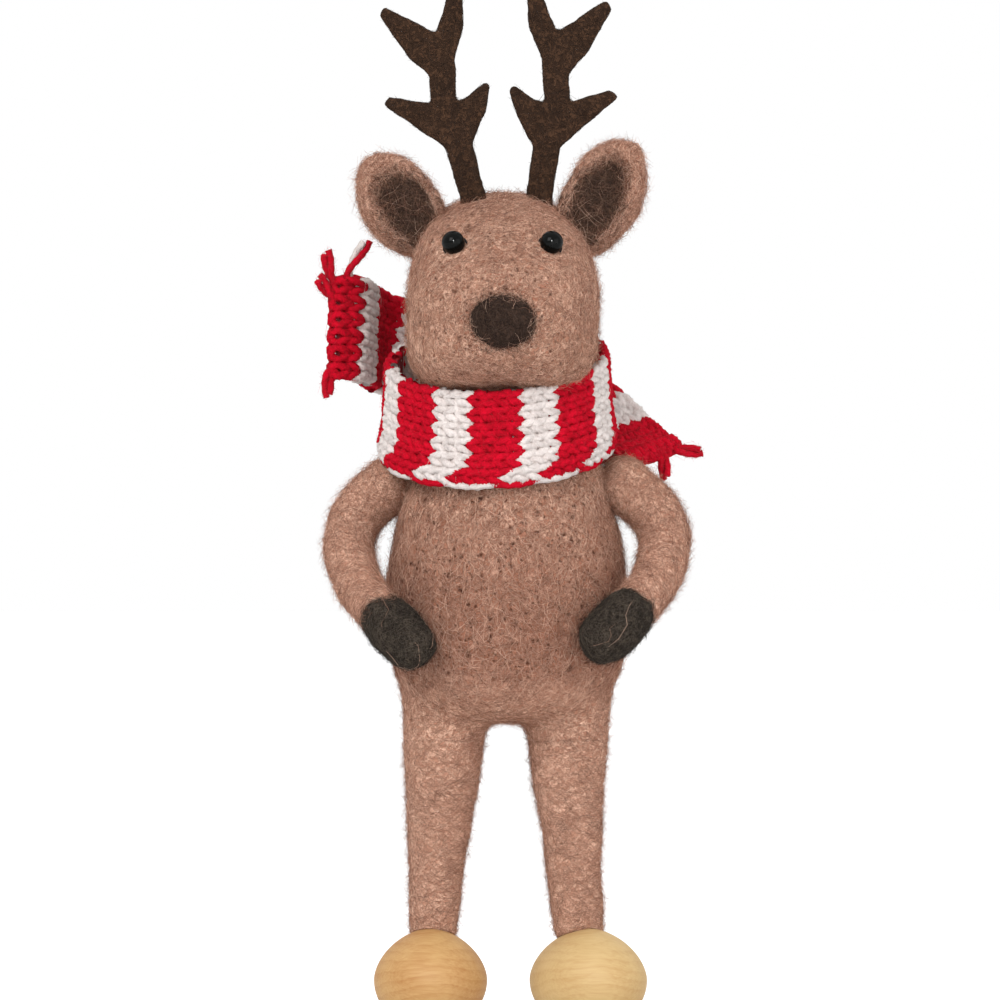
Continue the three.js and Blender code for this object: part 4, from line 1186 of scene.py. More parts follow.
@dataclass
class Head:
    """The head: a blunt egg that lies front to back, with bead eyes and a felt nose."""

    length: float = 39.0
    width: float = 32.7  # under the fibres
    height: float = 32.8
    slimming: float = 3.8
    droop: float = 3.8
    bluntness: float = 2.35
    squareness: float = 2.4
    jaw_squareness: float = 4.4
    middle: Array = field(default_factory=lambda: np.array((-0.8, -5.5, 123.6)))
    eye_width: float = 4.1
    eye_sink: float = 1.8
    eye_place: tuple[float, float] = (-0.5, 59.5)
    eye_bore: float = 0.55
    eye_bare: float = 2.6  # round a bead's middle, where no fibres grow
    eye_lashes: float = 2.0  # over which they come back
    thread: float = 0.36
    thread_twist: float = 2.0
    # Half of the stitch through a bead: steps along its bore and outwards, from its middle
    stitch: tuple[tuple[float, float], ...] = ((1.7, 0.0), (2.06, -0.9), (1.8, -3.0))
    dimple: float = 0.9
    dimple_width: float = 3.4
    nose_size: Triple = (11.2, 7.6, 9.1)
    nose_standout: float = 3.0
    nose_back: float = 2.0  # behind the muzzle's tip, where its fibres end
    nose_rim: float = 0.82  # how far out the head's fibres lie over the nose
    nose_blend: float = 1.16  # how far out the nose's fibres lie over the head
    voxel: float = 0.7

    def point(self, along: Array | float, around: Array | float) -> Array:
        """Points of the skin: along from -1 at the muzzle to 1, around in radians from the left upwards."""
        along, around = np.broadcast_arrays(np.asarray(along, float), np.asarray(around, float))
        swell = (1 - np.abs(along) ** self.bluntness) ** (1 / self.bluntness)
        power = 2 / np.where(np.sin(around) < 0, self.jaw_squareness, self.squareness)
        half_height = (self.height / 2 + self.slimming * along) * swell
        return self.middle + np.stack((
            self.width / 2 * swell * signed_power(np.cos(around), power),
            self.length / 2 * along,
            self.droop * along + half_height * signed_power(np.sin(around), power),
        ), axis=-1)

    def place(self, where: tuple[float, float], side: int) -> tuple[Array, Array, Array]:
        """A place on one side of the head.

        Args:
            where: Along, and around in degrees from that side.
            side: 1 for the left, -1 for the right.

        Returns:
            The point, the way out of the skin and the way round.
        """
        along = where[0]
        around = math.radians(where[1] if side > 0 else 180 - where[1])
        step = 0.01
        at = self.point(along, around)
        way_round = unit(self.point(along, around + step) - at)
        front = unit(self.point(along - step, around) - at)
        out = unit(np.cross(front, way_round))
        return at, out * np.sign(out @ (at - self.middle)), way_round

    def bead_middle(self, side: int) -> Array:
        """The middle of one bead."""
        at, out, _ = self.place(self.eye_place, side)
        return at + out * (self.eye_width / 2 - self.eye_sink)

    def build(self, shop: Workshop) -> None:
        """Builds and dresses the head, the beads and the nose."""
        along = np.cos(np.linspace(2 * POLE, math.pi - 2 * POLE, 70))
        egg = loft(self.point(along[:, None], circle(96))).piece("head")
        skull = felted(egg, self.voxel, 3, (0.45, 8.0), (0.2, 2.2), seed=2)
        points = points_of(skull)
        cover = np.ones(len(points))
        for side in SIDES.values():
            _, out, _ = self.place(self.eye_place, side)
            reach = np.linalg.norm(points - self.bead_middle(side), axis=1)
            points -= out * (self.dimple * np.exp(-((reach / self.dimple_width) ** 2)))[:, None]
            cover *= smooth_step((reach - self.eye_bare) / self.eye_lashes)
        move_points(skull, points)
        mark(skull, cover)
        shop.felt(skull, HEAD_WOOL, BROWN_FIGURE, "head_felt", FIRM,
                  mat=Coat(0.95, 3.8, 0.075, 0.35, 1.2, seed=7),
                  frost=Coat(0.55, 4.4, 0.055, 0.9, 1.5, seed=32),
                  strays=Coat(1.6, 2.8, 0.05, 1.5, 0.9, loose=1.0, points=3, seed=8))
        self.build_beads(shop)
        self.build_nose(shop, skull)

    def build_beads(self, shop: Workshop) -> None:
        """Turns the two beads, each with its bore and the stitch that holds it."""
        radius = self.eye_width / 2
        edge = math.acos(self.eye_bore / radius)
        lean = np.linspace(-edge, edge, 40)
        reach = np.concatenate((radius * np.cos(lean), (self.eye_bore, self.eye_bore)))
        bore_rings = np.array((0.4, -0.4))  # where along its half length the bore's wall has a ring
        run = np.concatenate((radius * np.sin(lean), radius * np.sin(edge) * bore_rings))
        angles = circle(56)
        half = np.array(self.stitch)
        steps = np.concatenate((half[::-1] * (-1, 1), np.zeros((1, 2)), half))
        thread = shop.finish(COTTON.material, "thread")
        for name, side in SIDES.items():
            _, out, way_round = self.place(self.eye_place, side)
            beside = np.cross(out, way_round)
            wheel = np.cos(angles)[:, None] * out + np.sin(angles)[:, None] * beside
            rings = reach[:, None, None] * wheel[None] + run[:, None, None] * way_round
            bead = loft(rings + self.bead_middle(side), closed=True).piece(f"bead_{name}")
            bead.data.materials.append(shop.finish(BEAD.material, "bead"))
            shop.join(bead, FIGURE, "bead", f"eye_{name}")
            line = spline(self.bead_middle(side) + steps[:, :1] * way_round + steps[:, 1:] * out, 40)
            stitch = shop.spinner.spin(f"stitch_{name}", [line], self.thread, self.thread_twist, thread)
            shop.join(stitch, FIGURE, "thread", f"eye_thread_{name}")

    def build_nose(self, shop: Workshop, skull: Object) -> None:
        """Felts the nose on to the muzzle's tip, with fibres of each over the other's edge."""
        worn = (FIGURE, "nose_wool")
        tip = self.point(-1.0, 0.0)
        width, depth, height = self.nose_size
        pole = 0.05
        lean = np.linspace(pole, math.pi - pole, 40)
        ball = turned(np.sin(lean), -np.cos(lean) * depth / 2, 56, width / 2, height / 2)
        middle = tip + np.array((0, depth / 2 - self.nose_standout, 0))
        ball.points = ball.points[:, (0, 2, 1)] + middle
        nose = felted(ball.piece("felt_nose"), 0.4, 2, (0.3, 2.4), seed=3)
        points = points_of(nose)
        front = points[:, 1] < tip[1] + self.nose_back
        mark(nose, front.astype(float))
        shop.felt(nose, NOSE_WOOL, worn, "nose", FIRM,
                  mat=Coat(3.2, 2.8, 0.075, 0.25, 0.7, points=4, seed=9),
                  strays=Coat(3.0, 2.4, 0.07, 0.9, 0.7, loose=1.0, points=4, seed=10))
        across = np.hypot((points[:, 0] - tip[0]) / width, (points[:, 2] - tip[2]) / height) * 2
        mark(nose, ((across > self.nose_rim) & front).astype(float))
        rim = Coat(1.4, 2.6, 0.055, 0.4, 1.0, seed=37)
        shop.grow(nose, f"{nose.name}_rim", rim, HEAD_WOOL, BROWN_FIGURE)
        around_nose = np.linalg.norm((points_of(skull) - middle) / np.array(self.nose_size), axis=1) * 2
        mark(skull, (around_nose < self.nose_blend).astype(float))
        edge = Coat(4.0, 1.5, 0.07, 0.25, 0.8, points=4, seed=38)
        shop.grow(skull, f"{nose.name}_edge", edge, NOSE_WOOL, worn)


@dataclass
class Ear(Sided):
    """One ear: a felted leaf with a scooped front and a dark lining."""

    head: Head
    length: float
    tilt: float
    place: tuple[float, float] = (0.32, 31.0)
    width: float = 13.8
    thick: float = 6.2
    buried: float = 3.4
    turn_out: float = 14.0
    rim: float = 1.8
    scoop_shift: float = 0.9
    floor: float = 2.4
    lining: float = 1.3
    lining_share: float = 0.86  # of the scoop, measured across
    lining_drop: float = 1.4  # towards the root
    lining_edge: float = 0.3  # half the lining's thickness at its edge
    blend: float = 1.7  # how far the lining's fibres reach over the leaf

    def placed(self, points: Array) -> Array:
        """Points from the ear's own frame, whose middle is the leaf's, to the figure's."""
        at, _, _ = self.head.place(self.place, self.side)
        swing = turn(np.array((0, 1, 0)), self.side * self.tilt) @ turn(UP, self.side * self.turn_out)
        return at + (points + UP * (self.length / 2 - self.buried)) @ swing.T

    def scoop(self, across: Array, up: Array) -> tuple[Array, Array]:
        """How far out in the scoop each place is, 1 at its edge, and the scoop's floor there."""
        half = self.width / 2 - self.rim
        edge = np.hypot((across + self.side * self.scoop_shift) / half, up / (self.length / 2 - self.rim))
        depth = (self.thick - self.floor) * np.sqrt(np.maximum(1 - edge**2, 0))
        return edge, np.where(edge < 1, depth - self.thick / 2, -self.thick)

    def leaf(self) -> Shell:
        """The leaf with its scooped front."""
        pole = 0.03
        share = np.sin(np.linspace(pole, math.pi / 2, 26))
        angles = circle(64)
        across = np.outer(share, np.cos(angles)) * self.width / 2
        up = np.outer(share, np.sin(angles)) * self.length / 2
        crown = self.thick / 2 * np.sqrt(np.maximum(1 - share**2, 0))[:, None]
        _, floor = self.scoop(across, up)
        front = np.stack((across, np.maximum(floor, -crown), up), axis=-1)
        back = np.stack((across, crown + 0 * across, up), axis=-1)[:-1]
        return loft(np.concatenate((front, back[::-1])))

    def lens(self) -> Shell:
        """The lining, a lens that lies in the scoop."""
        centre = 0.04  # where the rings start, and a cap closes the middle
        share = np.linspace(centre, 1.0, 22)
        angles = circle(56)
        spread = np.array((self.width / 2 - self.rim, self.length / 2 - self.rim)) * self.lining_share
        across = np.outer(share, np.cos(angles)) * spread[0] - self.side * self.scoop_shift
        up = np.outer(share, np.sin(angles)) * spread[1] - self.lining_drop
        _, floor = self.scoop(across, up)
        swell = self.lining * (1 - share[:, None] ** 2)
        front = np.stack((across, floor - swell - self.lining_edge, up), axis=-1)
        back = np.stack((across, floor + self.lining_edge, up), axis=-1)
        return loft(np.concatenate((front, back[::-1])))

    def build(self, shop: Workshop) -> None:
        """Builds and dresses the leaf and its lining, with fibres of each over the other."""
        worn = (FIGURE, "lining_wool")
        leaf, lens = self.leaf(), self.lens()
        leaf.points, lens.points = self.placed(leaf.points), self.placed(lens.points)
        ear = leaf.piece(f"ear_leaf_{self.name}")
        felted(ear, 0.5, 5, (0.4, 4.5), (0.15, 1.6), seed=4 + self.side)
        mark(ear)
        shop.felt(ear, EAR_WOOL, BROWN_FIGURE, f"ear_{self.name}", SOFT,
                  mat=Coat(1.6, 4.0, 0.075, 0.5, 1.1, seed=11),
                  frost=Coat(1.2, 3.6, 0.05, 0.9, 1.2, seed=35),
                  strays=Coat(3.4, 3.2, 0.05, 1.8, 0.9, loose=1.0, points=3, seed=12))
        lining = felted(lens.piece(f"ear_patch_{self.name}"), 0.4, 2, (0.3, 2.5), seed=6 + self.side)
        mark(lining)
        shop.felt(lining, LINING_WOOL, worn, f"ear_lining_{self.name}", SOFT,
                  mat=Coat(2.4, 4.6, 0.08, 0.6, 1.0, seed=13),
                  strays=Coat(1.4, 4.4, 0.05, 1.6, 1.0, loose=1.0, seed=14))
        pale = Coat(0.35, 4.6, 0.05, 1.3, 1.2, loose=0.6, seed=34)
        shop.grow(lining, f"{lining.name}_pale", pale, EAR_WOOL, BROWN_FIGURE)
        gaps = np.linalg.norm(points_of(ear)[:, None] - points_of(lining)[None, ::3], axis=2).min(axis=1)
        mark(ear, (gaps < self.blend).astype(float))
        edge = Coat(4.5, 2.8, 0.07, 0.6, 0.9, loose=0.5, seed=36)
        shop.grow(ear, f"{lining.name}_edge", edge, LINING_WOOL, worn)


@dataclass
class Antler(Sided):
    """One antler, cut from thick felt sheet."""

    head: Head
    lean: float
    place: tuple[float, float]
    thick: float = 2.6
    softness: float = 0.3  # of the cut corners
    root: float = 7.0  # of the tab in the head
    bare: float = 2.0  # below the head's skin, where the fibres end
    outline: tuple[tuple[float, float], ...] = (
        (2.3, 0), (4.8, 8.9), (15.9, 16.3), (14.8, 17.6), (7.4, 16.4), (7.8, 21.5),
        (11.6, 24.8), (16.6, 31.9), (15.8, 33.4), (6.6, 28.8), (5.6, 32), (4.5, 36.4),
        (2.2, 36.9), (1.9, 30), (3.4, 24.6), (3.1, 17), (1.3, 17.5), (-2, 20.4),
        (-2.8, 19.7), (-1.9, 15), (0.2, 9.6), (-2.2, 0),
    )

    def cut_line(self) -> Array:
        """The cut outline, with its corners a little softened."""
        tab = ((self.outline[-1][0], -self.root), (self.outline[0][0], -self.root))
        corners = np.array((*tab, *self.outline))
        after = np.roll(corners, -1, axis=0)
        step = unit(after - corners) * self.softness
        return np.stack((corners + step, after - step), axis=1).reshape(-1, 2)

    def build(self, shop: Workshop) -> None:
        """Cuts the sheet and dresses it."""
        side = self.side
        line = self.cut_line()
        count = len(line)
        swing = turn(np.array((0, 1, 0)), side * self.lean)
        at, _, _ = self.head.place(self.place, side)
        faces = []
        for depth in (-self.thick / 2, self.thick / 2):
            own = np.stack((side * line[:, 0], np.full(count, depth), line[:, 1]), axis=1)
            faces.append(own @ swing.T + at)
        sides = [(i, (i + 1) % count, count + (i + 1) % count, count + i) for i in range(count)]
        flats = [tuple(range(count)), tuple(range(2 * count - 1, count - 1, -1))]
        slab = Shell(np.concatenate(faces), sides + flats).piece(f"antler_felt_{self.name}")
        felt = felted(slab, 0.36, 1, (0.2, 3.0), (0.08, 0.9), seed=8 + side)
        points = points_of(felt)
        mark(felt, (points[:, 2] > at[2] - self.bare).astype(float))
        shop.felt(felt, ANTLER_FELT, (FIGURE, "antler_felt"), f"antler_{self.name}", None,
                  mat=Coat(1.2, 2.6, 0.07, 0.12, 0.7, points=4, seed=15),
                  strays=Coat(0.25, 1.8, 0.05, 0.6, 0.6, loose=1.0, points=4, seed=16))


@dataclass
class Arm(Sided):
    """One arm, wound round a wire and ending in a dark hoof, which swings at the shoulder."""

    trunk: Trunk
    drop: float  # from the shoulder down to the hoof
    standoff: float = 3.2
    root_width: float = 9.6
    wrist_width: float = 8.0
    tuck_width: float = 6.6
    reach: float = 7.8
    hoof_width: float = 9.4
    hoof_length: float = 15.2
    hoof_end: float = 2.4
    hoof_bluntness: float = 2.6
    overlap: float = 3.5  # of the arm's fibres under the hoof
    # Shares of the drop, degrees towards the front, and shares of the reach
    stations: tuple[Triple, ...] = (
        (0.173, 2, 0.9), (0.383, 6, 1.0), (0.617, 20, 0.82), (0.807, 38, 0.77), (1.0, 53, 0.72))

    @property
    def body(self) -> str:
        """The body that it rides on."""
        return f"{self.name}_arm"

    def line(self, samples: int) -> Array:
        """The arm's middle line, from the shoulder."""
        side = self.side
        points = [np.array((side * (self.trunk.radius(SHOULDER) + self.standoff), 0, SHOULDER))]
        for drop, degrees, share in self.stations:
            height = SHOULDER - self.drop * drop
            radius = self.trunk.radius(height) + self.reach * share
            angle = math.radians(degrees)
            depth = -radius * self.trunk.depth_ratio * math.sin(angle)
            points.append(np.array((side * radius * math.cos(angle), depth, height)))
        return spline(np.array(points), samples)

    def build(self, shop: Workshop) -> None:
        """Builds and dresses the arm and its hoof."""
        line = self.line(120)
        runs = run_along(line)
        hoof_start = runs[-1] + self.hoof_end - self.hoof_length
        widths = self.root_width + (self.wrist_width - self.root_width) * np.clip(runs / hoof_start, 0, 1)
        tucked = smooth_step((runs - hoof_start) / (runs[-1] - hoof_start))
        widths = widths + (self.tuck_width - widths) * tucked
        ball = np.linspace(POLE, math.pi - POLE, 24)
        along = tangents(line)[0]
        root = limb(line[0] - np.outer(np.cos(ball), along) * self.root_width / 2,
                    np.sin(ball) * self.root_width / 2)
        arm = limb(line, widths / 2).joined(root).piece(f"arm_wool_{self.name}")
        felted(arm, 0.6, 4, (0.35, 6.0), (0.18, 2.2), seed=11 + self.side)
        points = points_of(arm)
        nearest = 4 * np.argmin(np.linalg.norm(points[:, None] - line[None, ::4], axis=2), axis=1)
        mark(arm, (runs[nearest] < hoof_start + self.overlap).astype(float), tangents(line)[nearest])
        shop.felt(arm, WOUND_WOOL, (self.body, BROWN), f"arm_{self.name}", FIRM,
                  mat=Coat(0.8, 4.2, 0.07, 0.3, 0.9, Lay.WOUND, seed=17),
                  frost=Coat(0.8, 3.8, 0.055, 0.6, 1.0, seed=33),
                  strays=Coat(4.0, 3.0, 0.045, 1.5, 1.0, loose=1.0, points=3, seed=18))
        self.build_hoof(shop, line, hoof_start)

    def build_hoof(self, shop: Workshop, line: Array, start: float) -> None:
        """Felts the hoof over the arm's end, with a few long pale hairs that cling to it.

        Args:
            shop: The tools.
            line: The arm's middle line.
            start: The hoof's start along that line.
        """
        runs = run_along(line)
        pole = 0.06
        share = (1 - np.cos(np.linspace(pole, math.pi - pole, 40))) / 2
        wanted = start + self.hoof_length * share
        places = np.stack([np.interp(wanted, runs, column) for column in line.T], axis=1)
        places += np.maximum(wanted - runs[-1], 0)[:, None] * tangents(line)[-1]
        swell = (1 - np.abs(2 * share - 1) ** self.hoof_bluntness) ** (1 / self.hoof_bluntness)
        hoof = limb(places, swell * self.hoof_width / 2).piece(f"hoof_wool_{self.name}")
        felted(hoof, 0.5, 3, (0.45, 4.0), (0.15, 1.5), seed=14 + self.side)
        mark(hoof)
        shop.felt(hoof, DARK_WOOL, (self.body, "dark_wool"), f"hoof_{self.name}", FIRM,
                  mat=Coat(2.0, 3.4, 0.07, 0.25, 0.9, points=4, seed=19),
                  frost=Coat(1.2, 3.2, 0.055, 0.5, 1.1, points=4, seed=39),
                  strays=Coat(3.4, 2.4, 0.05, 1.1, 0.8, loose=1.0, points=3, seed=20))
        hairs = Coat(0.022, 8.5, 0.07, 0.45, 1.5, points=6, seed=21 + self.side)
        shop.grow(hoof, f"{hoof.name}_hairs", hairs, WOUND_WOOL, (self.body, BROWN))


KNIT = (FIGURE, "knit")
OFF_STRANDS = np.array((0.2, 1.0, 0.1))  # an axis that no strand of the fringe runs along


class Strip:
    """A knitted strip in space: its middle line, the way over its width and the way out of its face."""

    def __init__(self, middles: Array, overs: Array, outs: Array, widths: Array | float) -> None:
        """Keeps a frame at each point of the middle line."""
        self.middles = middles
        self.overs = overs
        self.outs = outs
        self.widths = np.broadcast_to(widths, len(middles))
        self.runs = run_along(middles)

    @property
    def length(self) -> float:
        """The length of the middle line."""
        return float(self.runs[-1])

    def at(self, run: Array, over: Array, out: Array) -> Array:
        """Points on the strip.

        Args:
            run: Lengths along it. Past its ends it runs on straight.
            over: Shares of its half width, from -1 at the lower edge to 1.
            out: Heights over its middle.

        Returns:
            One point for each.
        """
        def read(rows: Array) -> Array:
            """Rows of the strip at each run."""
            return np.stack([np.interp(run, self.runs, column) for column in rows.T], axis=-1)

        along = tangents(self.middles)
        after = np.maximum(run - self.length, 0)[..., None] * along[-1]
        before = np.minimum(run, 0)[..., None] * along[0]
        half = np.interp(run, self.runs, self.widths) / 2
        middle = read(self.middles) + (after + before) + read(self.overs) * (half * over)[..., None]
        return middle + read(self.outs) * out[..., None]


@dataclass
class Scarf:
    """The knitted scarf: a band round the neck, a knot at the nape, two tails and their fringe."""

    trunk: Trunk
    width: float = 16.5
    thick: float = 2.6
    clearance: float = 0.3  # from the body
    roll: float = 0.6
    roll_height: float = 2.2
    drop: float = 4.2
    tilt: float = 19.0
    cant: float = 3.0
    shift: float = 1.7
    hug: float = 0.8
    lean: float = 3.0
    cover_margin: float = 3.0  # inside the lower edge, where the body's fibres end
    band_angles: tuple[float, float, int] = (90.0, 450.0, 240)  # from nape to nape, and how many
    front_angle: float = 268.2  # of the middle of the red stripe in front
    knot: Triple = (12.0, 8.0, 14.0)
    knot_drop: float = 2.0
    knot_inset: float = 0.6  # of the wrap's middle in the knot
    knot_wales: int = 4
    flare: float = 1.12
    course: float = 2.2
    wales: int = 6
    red_courses: int = 4
    white_courses: int = 3
    # Courses of red at each tail's end
    end_courses: dict[str, int] = field(default_factory=lambda: {"left": 4, "right": 2})
    yarn: float = 1.5
    face: float = 0.7  # from a tail's middle to the loops on either side
    band_face: float = 0.2  # from the band's middle out to its loops
    twist: float = 4.0
    slant: float = 4.0  # how far the stripes lag at the rolled edge
    slant_height: float = 4.2  # over which the lag dies out
    uneven: float = 0.22  # how far a loop strays from its place
    seed: int = 7  # of the noise that moves the loops
    lumps: float = 0.45  # to a millimetre, in the noise that moves the loops
    loop_span: float = 0.97  # share of the width that the loops take
    loop_points: int = 18
    # Half a loop, from sinker to head: shares of a wale over it, of a course along it, and height in yarns
    loop: tuple[Triple, ...] = (
        (0.0, -0.86, -0.42), (0.3, -0.8, -0.32), (0.42, -0.42, 0.05), (0.29, 0.05, 0.36), (0.12, 0.52, 0.2),
        (0.2, 0.86, -0.16), (0.5, 1.0, -0.36),
    )
    strand_length: float = 5.2
    strand_root: float = 1.2
    strand_sunk: float = 1.6  # of a strand's start, inside the tail
    strand_inset: float = 2.3
    strand_yarn: float = 1.25
    strand_twist: float = 3.2
    strand_points: int = 40
    second_points: int = 37  # of a pair's other yarn, which is a little shorter
    pair_turn: tuple[float, float] = (0.4, 4.2)  # radians, from root to end
    pair_spread: tuple[float, float] = (0.42, 0.62)  # of each yarn from the middle, from root to end
    reach: dict[str, float] = field(default_factory=lambda: {"left": 27.0, "right": 28.2})
    # Shares of the reach, outwards, back and up from the knot, and the twist from upright in degrees
    tails: dict[str, tuple] = field(default_factory=lambda: {
        "left": ((0.07, 0, 0, 0), (0.31, -0.03, -0.02, -44), (0.56, -0.13, -0.16, -70),
                 (0.77, -0.27, -0.36, -74), (0.9, -0.35, -0.44, -78), (1, -0.4, -0.48, -80)),
        "right": ((0.07, 0, 0, 0), (0.34, 0.08, 0.09, 0), (0.58, 0.1, 0.18, 0), (0.7, 0.1, 0.225, 0),
                  (0.77, 0, 0.26, 0), (0.82, -0.19, 0.29, 0), (0.88, -0.34, 0.32, 0), (1, -0.41, 0.325, 0)),
    })
    # Tail, whether it is knotted into the upper edge with a white yarn, share of the half width, and lay
    # outwards, back and up
    strands: tuple = (
        ("right", False, 0.92, (0.19, -0.19, 0.96)), ("right", False, 0.6, (0.44, -0.31, 0.66)),
        ("right", True, 1.0, (-0.62, 0.1, 0.98)), ("right", False, -0.84, (0.06, -0.15, -0.85)),
        ("left", False, 0.78, (0.9, 0.1, -0.1)), ("left", False, 0.2, (0.12, -0.1, -0.85)),
    )

    def band_place(self, angles: Array) -> tuple[Array, Array]:
        """The band's middle and the way out at angles from the figure's left towards its nape."""
        half = self.trunk.radius(SHOULDER) + self.clearance + self.thick / 2 + self.roll - self.hug
        deep = half * self.trunk.depth_ratio
        x, y = half * np.cos(angles), deep * np.sin(angles)
        rise = y * math.tan(math.radians(self.tilt)) + x * math.tan(math.radians(self.cant))
        middle = np.stack((x - self.shift, y, self.trunk.neck - self.drop + rise), axis=-1)
        return middle, unit(np.stack((np.cos(angles) / half, np.sin(angles) / deep, 0 * angles), axis=-1))

    def hides(self, points: Array) -> Array:
        """1 where the band covers the body well inside its lower edge."""
        rise = points[:, 1] * math.tan(math.radians(self.tilt))
        lower = self.trunk.neck - self.drop + rise - self.width / 2
        return (points[:, 2] > lower + self.cover_margin).astype(float)

    def band(self) -> Strip:
        """The band, from the nape round the front to the nape."""
        middles, outs = self.band_place(np.radians(np.linspace(*self.band_angles)))
        lean = math.radians(self.lean)
        overs = math.cos(lean) * UP - math.sin(lean) * outs
        faces = math.cos(lean) * outs + math.sin(lean) * UP
        return Strip(middles, overs, faces, self.width)

    def knot_middle(self) -> Array:
        """The middle of the knot."""
        middles, _ = self.band_place(np.array((math.pi / 2,)))
        return middles[0] + np.array((0, (self.thick + self.knot[1]) / 2 - self.roll, -self.knot_drop))

    def knot_wrap(self) -> Strip:
        """The turn of the strip that holds the knot."""
        angles = np.radians(np.linspace(-90, 270, 120))
        width, depth, height = self.knot
        back, up = np.cos(angles), np.sin(angles)
        inset = self.knot_inset
        ring = np.stack((0 * angles, back * (depth / 2 - inset), up * (height / 2 - inset)), axis=1)
        outs = unit(np.stack((0 * angles, back / depth, up / height), axis=1))
        return Strip(self.knot_middle() + ring, np.broadcast_to(ACROSS, ring.shape), outs, width)

    def tail(self, name: str) -> Strip:
        """One tail, from the knot to its end."""
        stations = np.array(self.tails[name], float)
        places = stations[:, :3] * self.reach[name] * np.array((SIDES[name], 1, 1)) + self.knot_middle()
        rows = spline(np.column_stack((places, stations[:, 3])), 90)
        along = tangents(rows[:, :3])
        upright = unit(UP - along * (along @ UP)[:, None])
        angles = np.radians(rows[:, 3:])
        overs = upright * np.cos(angles) + np.cross(along, upright) * np.sin(angles)
        widths = self.width * np.linspace(1, self.flare, len(rows))
        return Strip(rows[:, :3], overs, np.cross(along, overs), widths)

    def edge_roll(self, over: Array) -> tuple[Array, Array]:
        """What the band's rolled lower edge does: the height that it adds, and the lag of the stripes."""
        above = (over + 1) * self.width / 2
        height = self.roll * np.exp(-(((above - self.roll_height) / self.roll_height) ** 2))
        return height, -self.slant * smooth_step(1 - above / self.slant_height)

    def loops(self, strip: Strip, start: float, courses: int, wales: int, rolled: bool,
              face: float) -> Array:
        """One yarn knitted to and fro.

        Args:
            strip: Where it lies.
            start: The run at which its first course starts.
            courses: How many courses it makes.
            wales: Loops in a course.
            rolled: Whether the lower edge rolls.
            face: Height of the loops' middle over the strip's, below 0 on the back.

        Returns:
            Points along the yarn.
        """
        half = np.array(self.loop)
        loop = np.concatenate((half, half[-2:0:-1] * (-1, 1, 1) + (1, 0, 0)))
        knots = [loop + (wale, 0, 0) for wale in range(wales)]
        path = spline(np.concatenate((*knots, loop[:1] + (wales, 0, 0))), self.loop_points * wales + 1)
        over = 2 / wales * path[:, 0] - 1
        bulge, slip = self.edge_roll(over) if rolled else (0 * over, 0 * over)
        rows = []
        for course in range(courses):
            run = start + (course + 0.5 + path[:, 1]) * self.course + slip
            height = path[:, 2] * self.yarn * np.sign(face) + face + bulge
            row = strip.at(run, over * self.loop_span, height)
            row += self.uneven * np.array([noise.noise_vector(place * self.lumps) for place in row])
            rows.append(row if course % 2 == 0 else row[::-1])
        return np.concatenate(rows)

    def stripes(self, length: float, red_start: float) -> list[tuple[bool, float, int]]:
        """The stripes of a strip.

        Args:
            length: The strip's length.
            red_start: A run at which a red stripe starts.

        Returns:
            Whether each is red, its start and its courses.
        """
        period = (self.red_courses + self.white_courses) * self.course
        start = red_start - period * math.ceil(red_start / period)
        found = []
        red = True
        while start < length:
            courses = self.red_courses if red else self.white_courses
            skipped = max(0, math.ceil(-start / self.course - 0.2))
            kept = min(courses, math.floor((length - start) / self.course + 0.3)) - skipped
            if kept > 0:
                found.append((red, start + skipped * self.course, kept))
            start += courses * self.course
            red = not red
        return found

    def ground(self, strip: Strip, red_start: float, closed: bool, rolled: bool) -> tuple[Shell, Array]:
        """The thin sheet behind a strip's loops.

        Args:
            strip: Where it lies.
            red_start: A run at which a red stripe starts.
            closed: Whether the strip meets itself.
            rolled: Whether the lower edge rolls.

        Returns:
            The shell, and for each of its points the place on the striped map.
        """
        step, span, points = 0.8, 0.96, 19  # along it, and over it
        runs = np.linspace(0, strip.length, round(strip.length / step), endpoint=not closed)
        over = np.linspace(-span, span, points)
        ring = np.concatenate((over, over[::-1]))
        bulge, slip = self.edge_roll(ring) if rolled else (0 * ring, 0 * ring)
        faces = (-0.4, -0.9) if closed else (0.2, -0.2)  # heights over the strip's middle
        height = np.repeat(faces, points) + bulge
        grid = np.broadcast_arrays(runs[:, None], ring, height)
        shell = loft(strip.at(*grid), closed)
        places = np.stack((grid[1], runs[:, None] - slip - red_start), axis=-1)
        caps = np.array(((0, runs[0] - red_start), (0, runs[-1] - red_start)))
        flat = places.reshape(-1, 2)
        return shell, flat if closed else np.concatenate((flat, caps))

    def edge_float(self, strip: Strip, start: float, courses: int) -> Array:
        """Yarn of the other colour, which is carried along the lower edge past a stripe."""
        overlap, points = 0.8, 24
        run = start - self.slant + np.linspace(-overlap, courses * self.course + overlap, points)
        sag = np.sin(np.linspace(0, math.pi, points))
        return strip.at(run, -0.95 - 0.06 * sag, self.roll * 0.45 + 0.35 * sag)

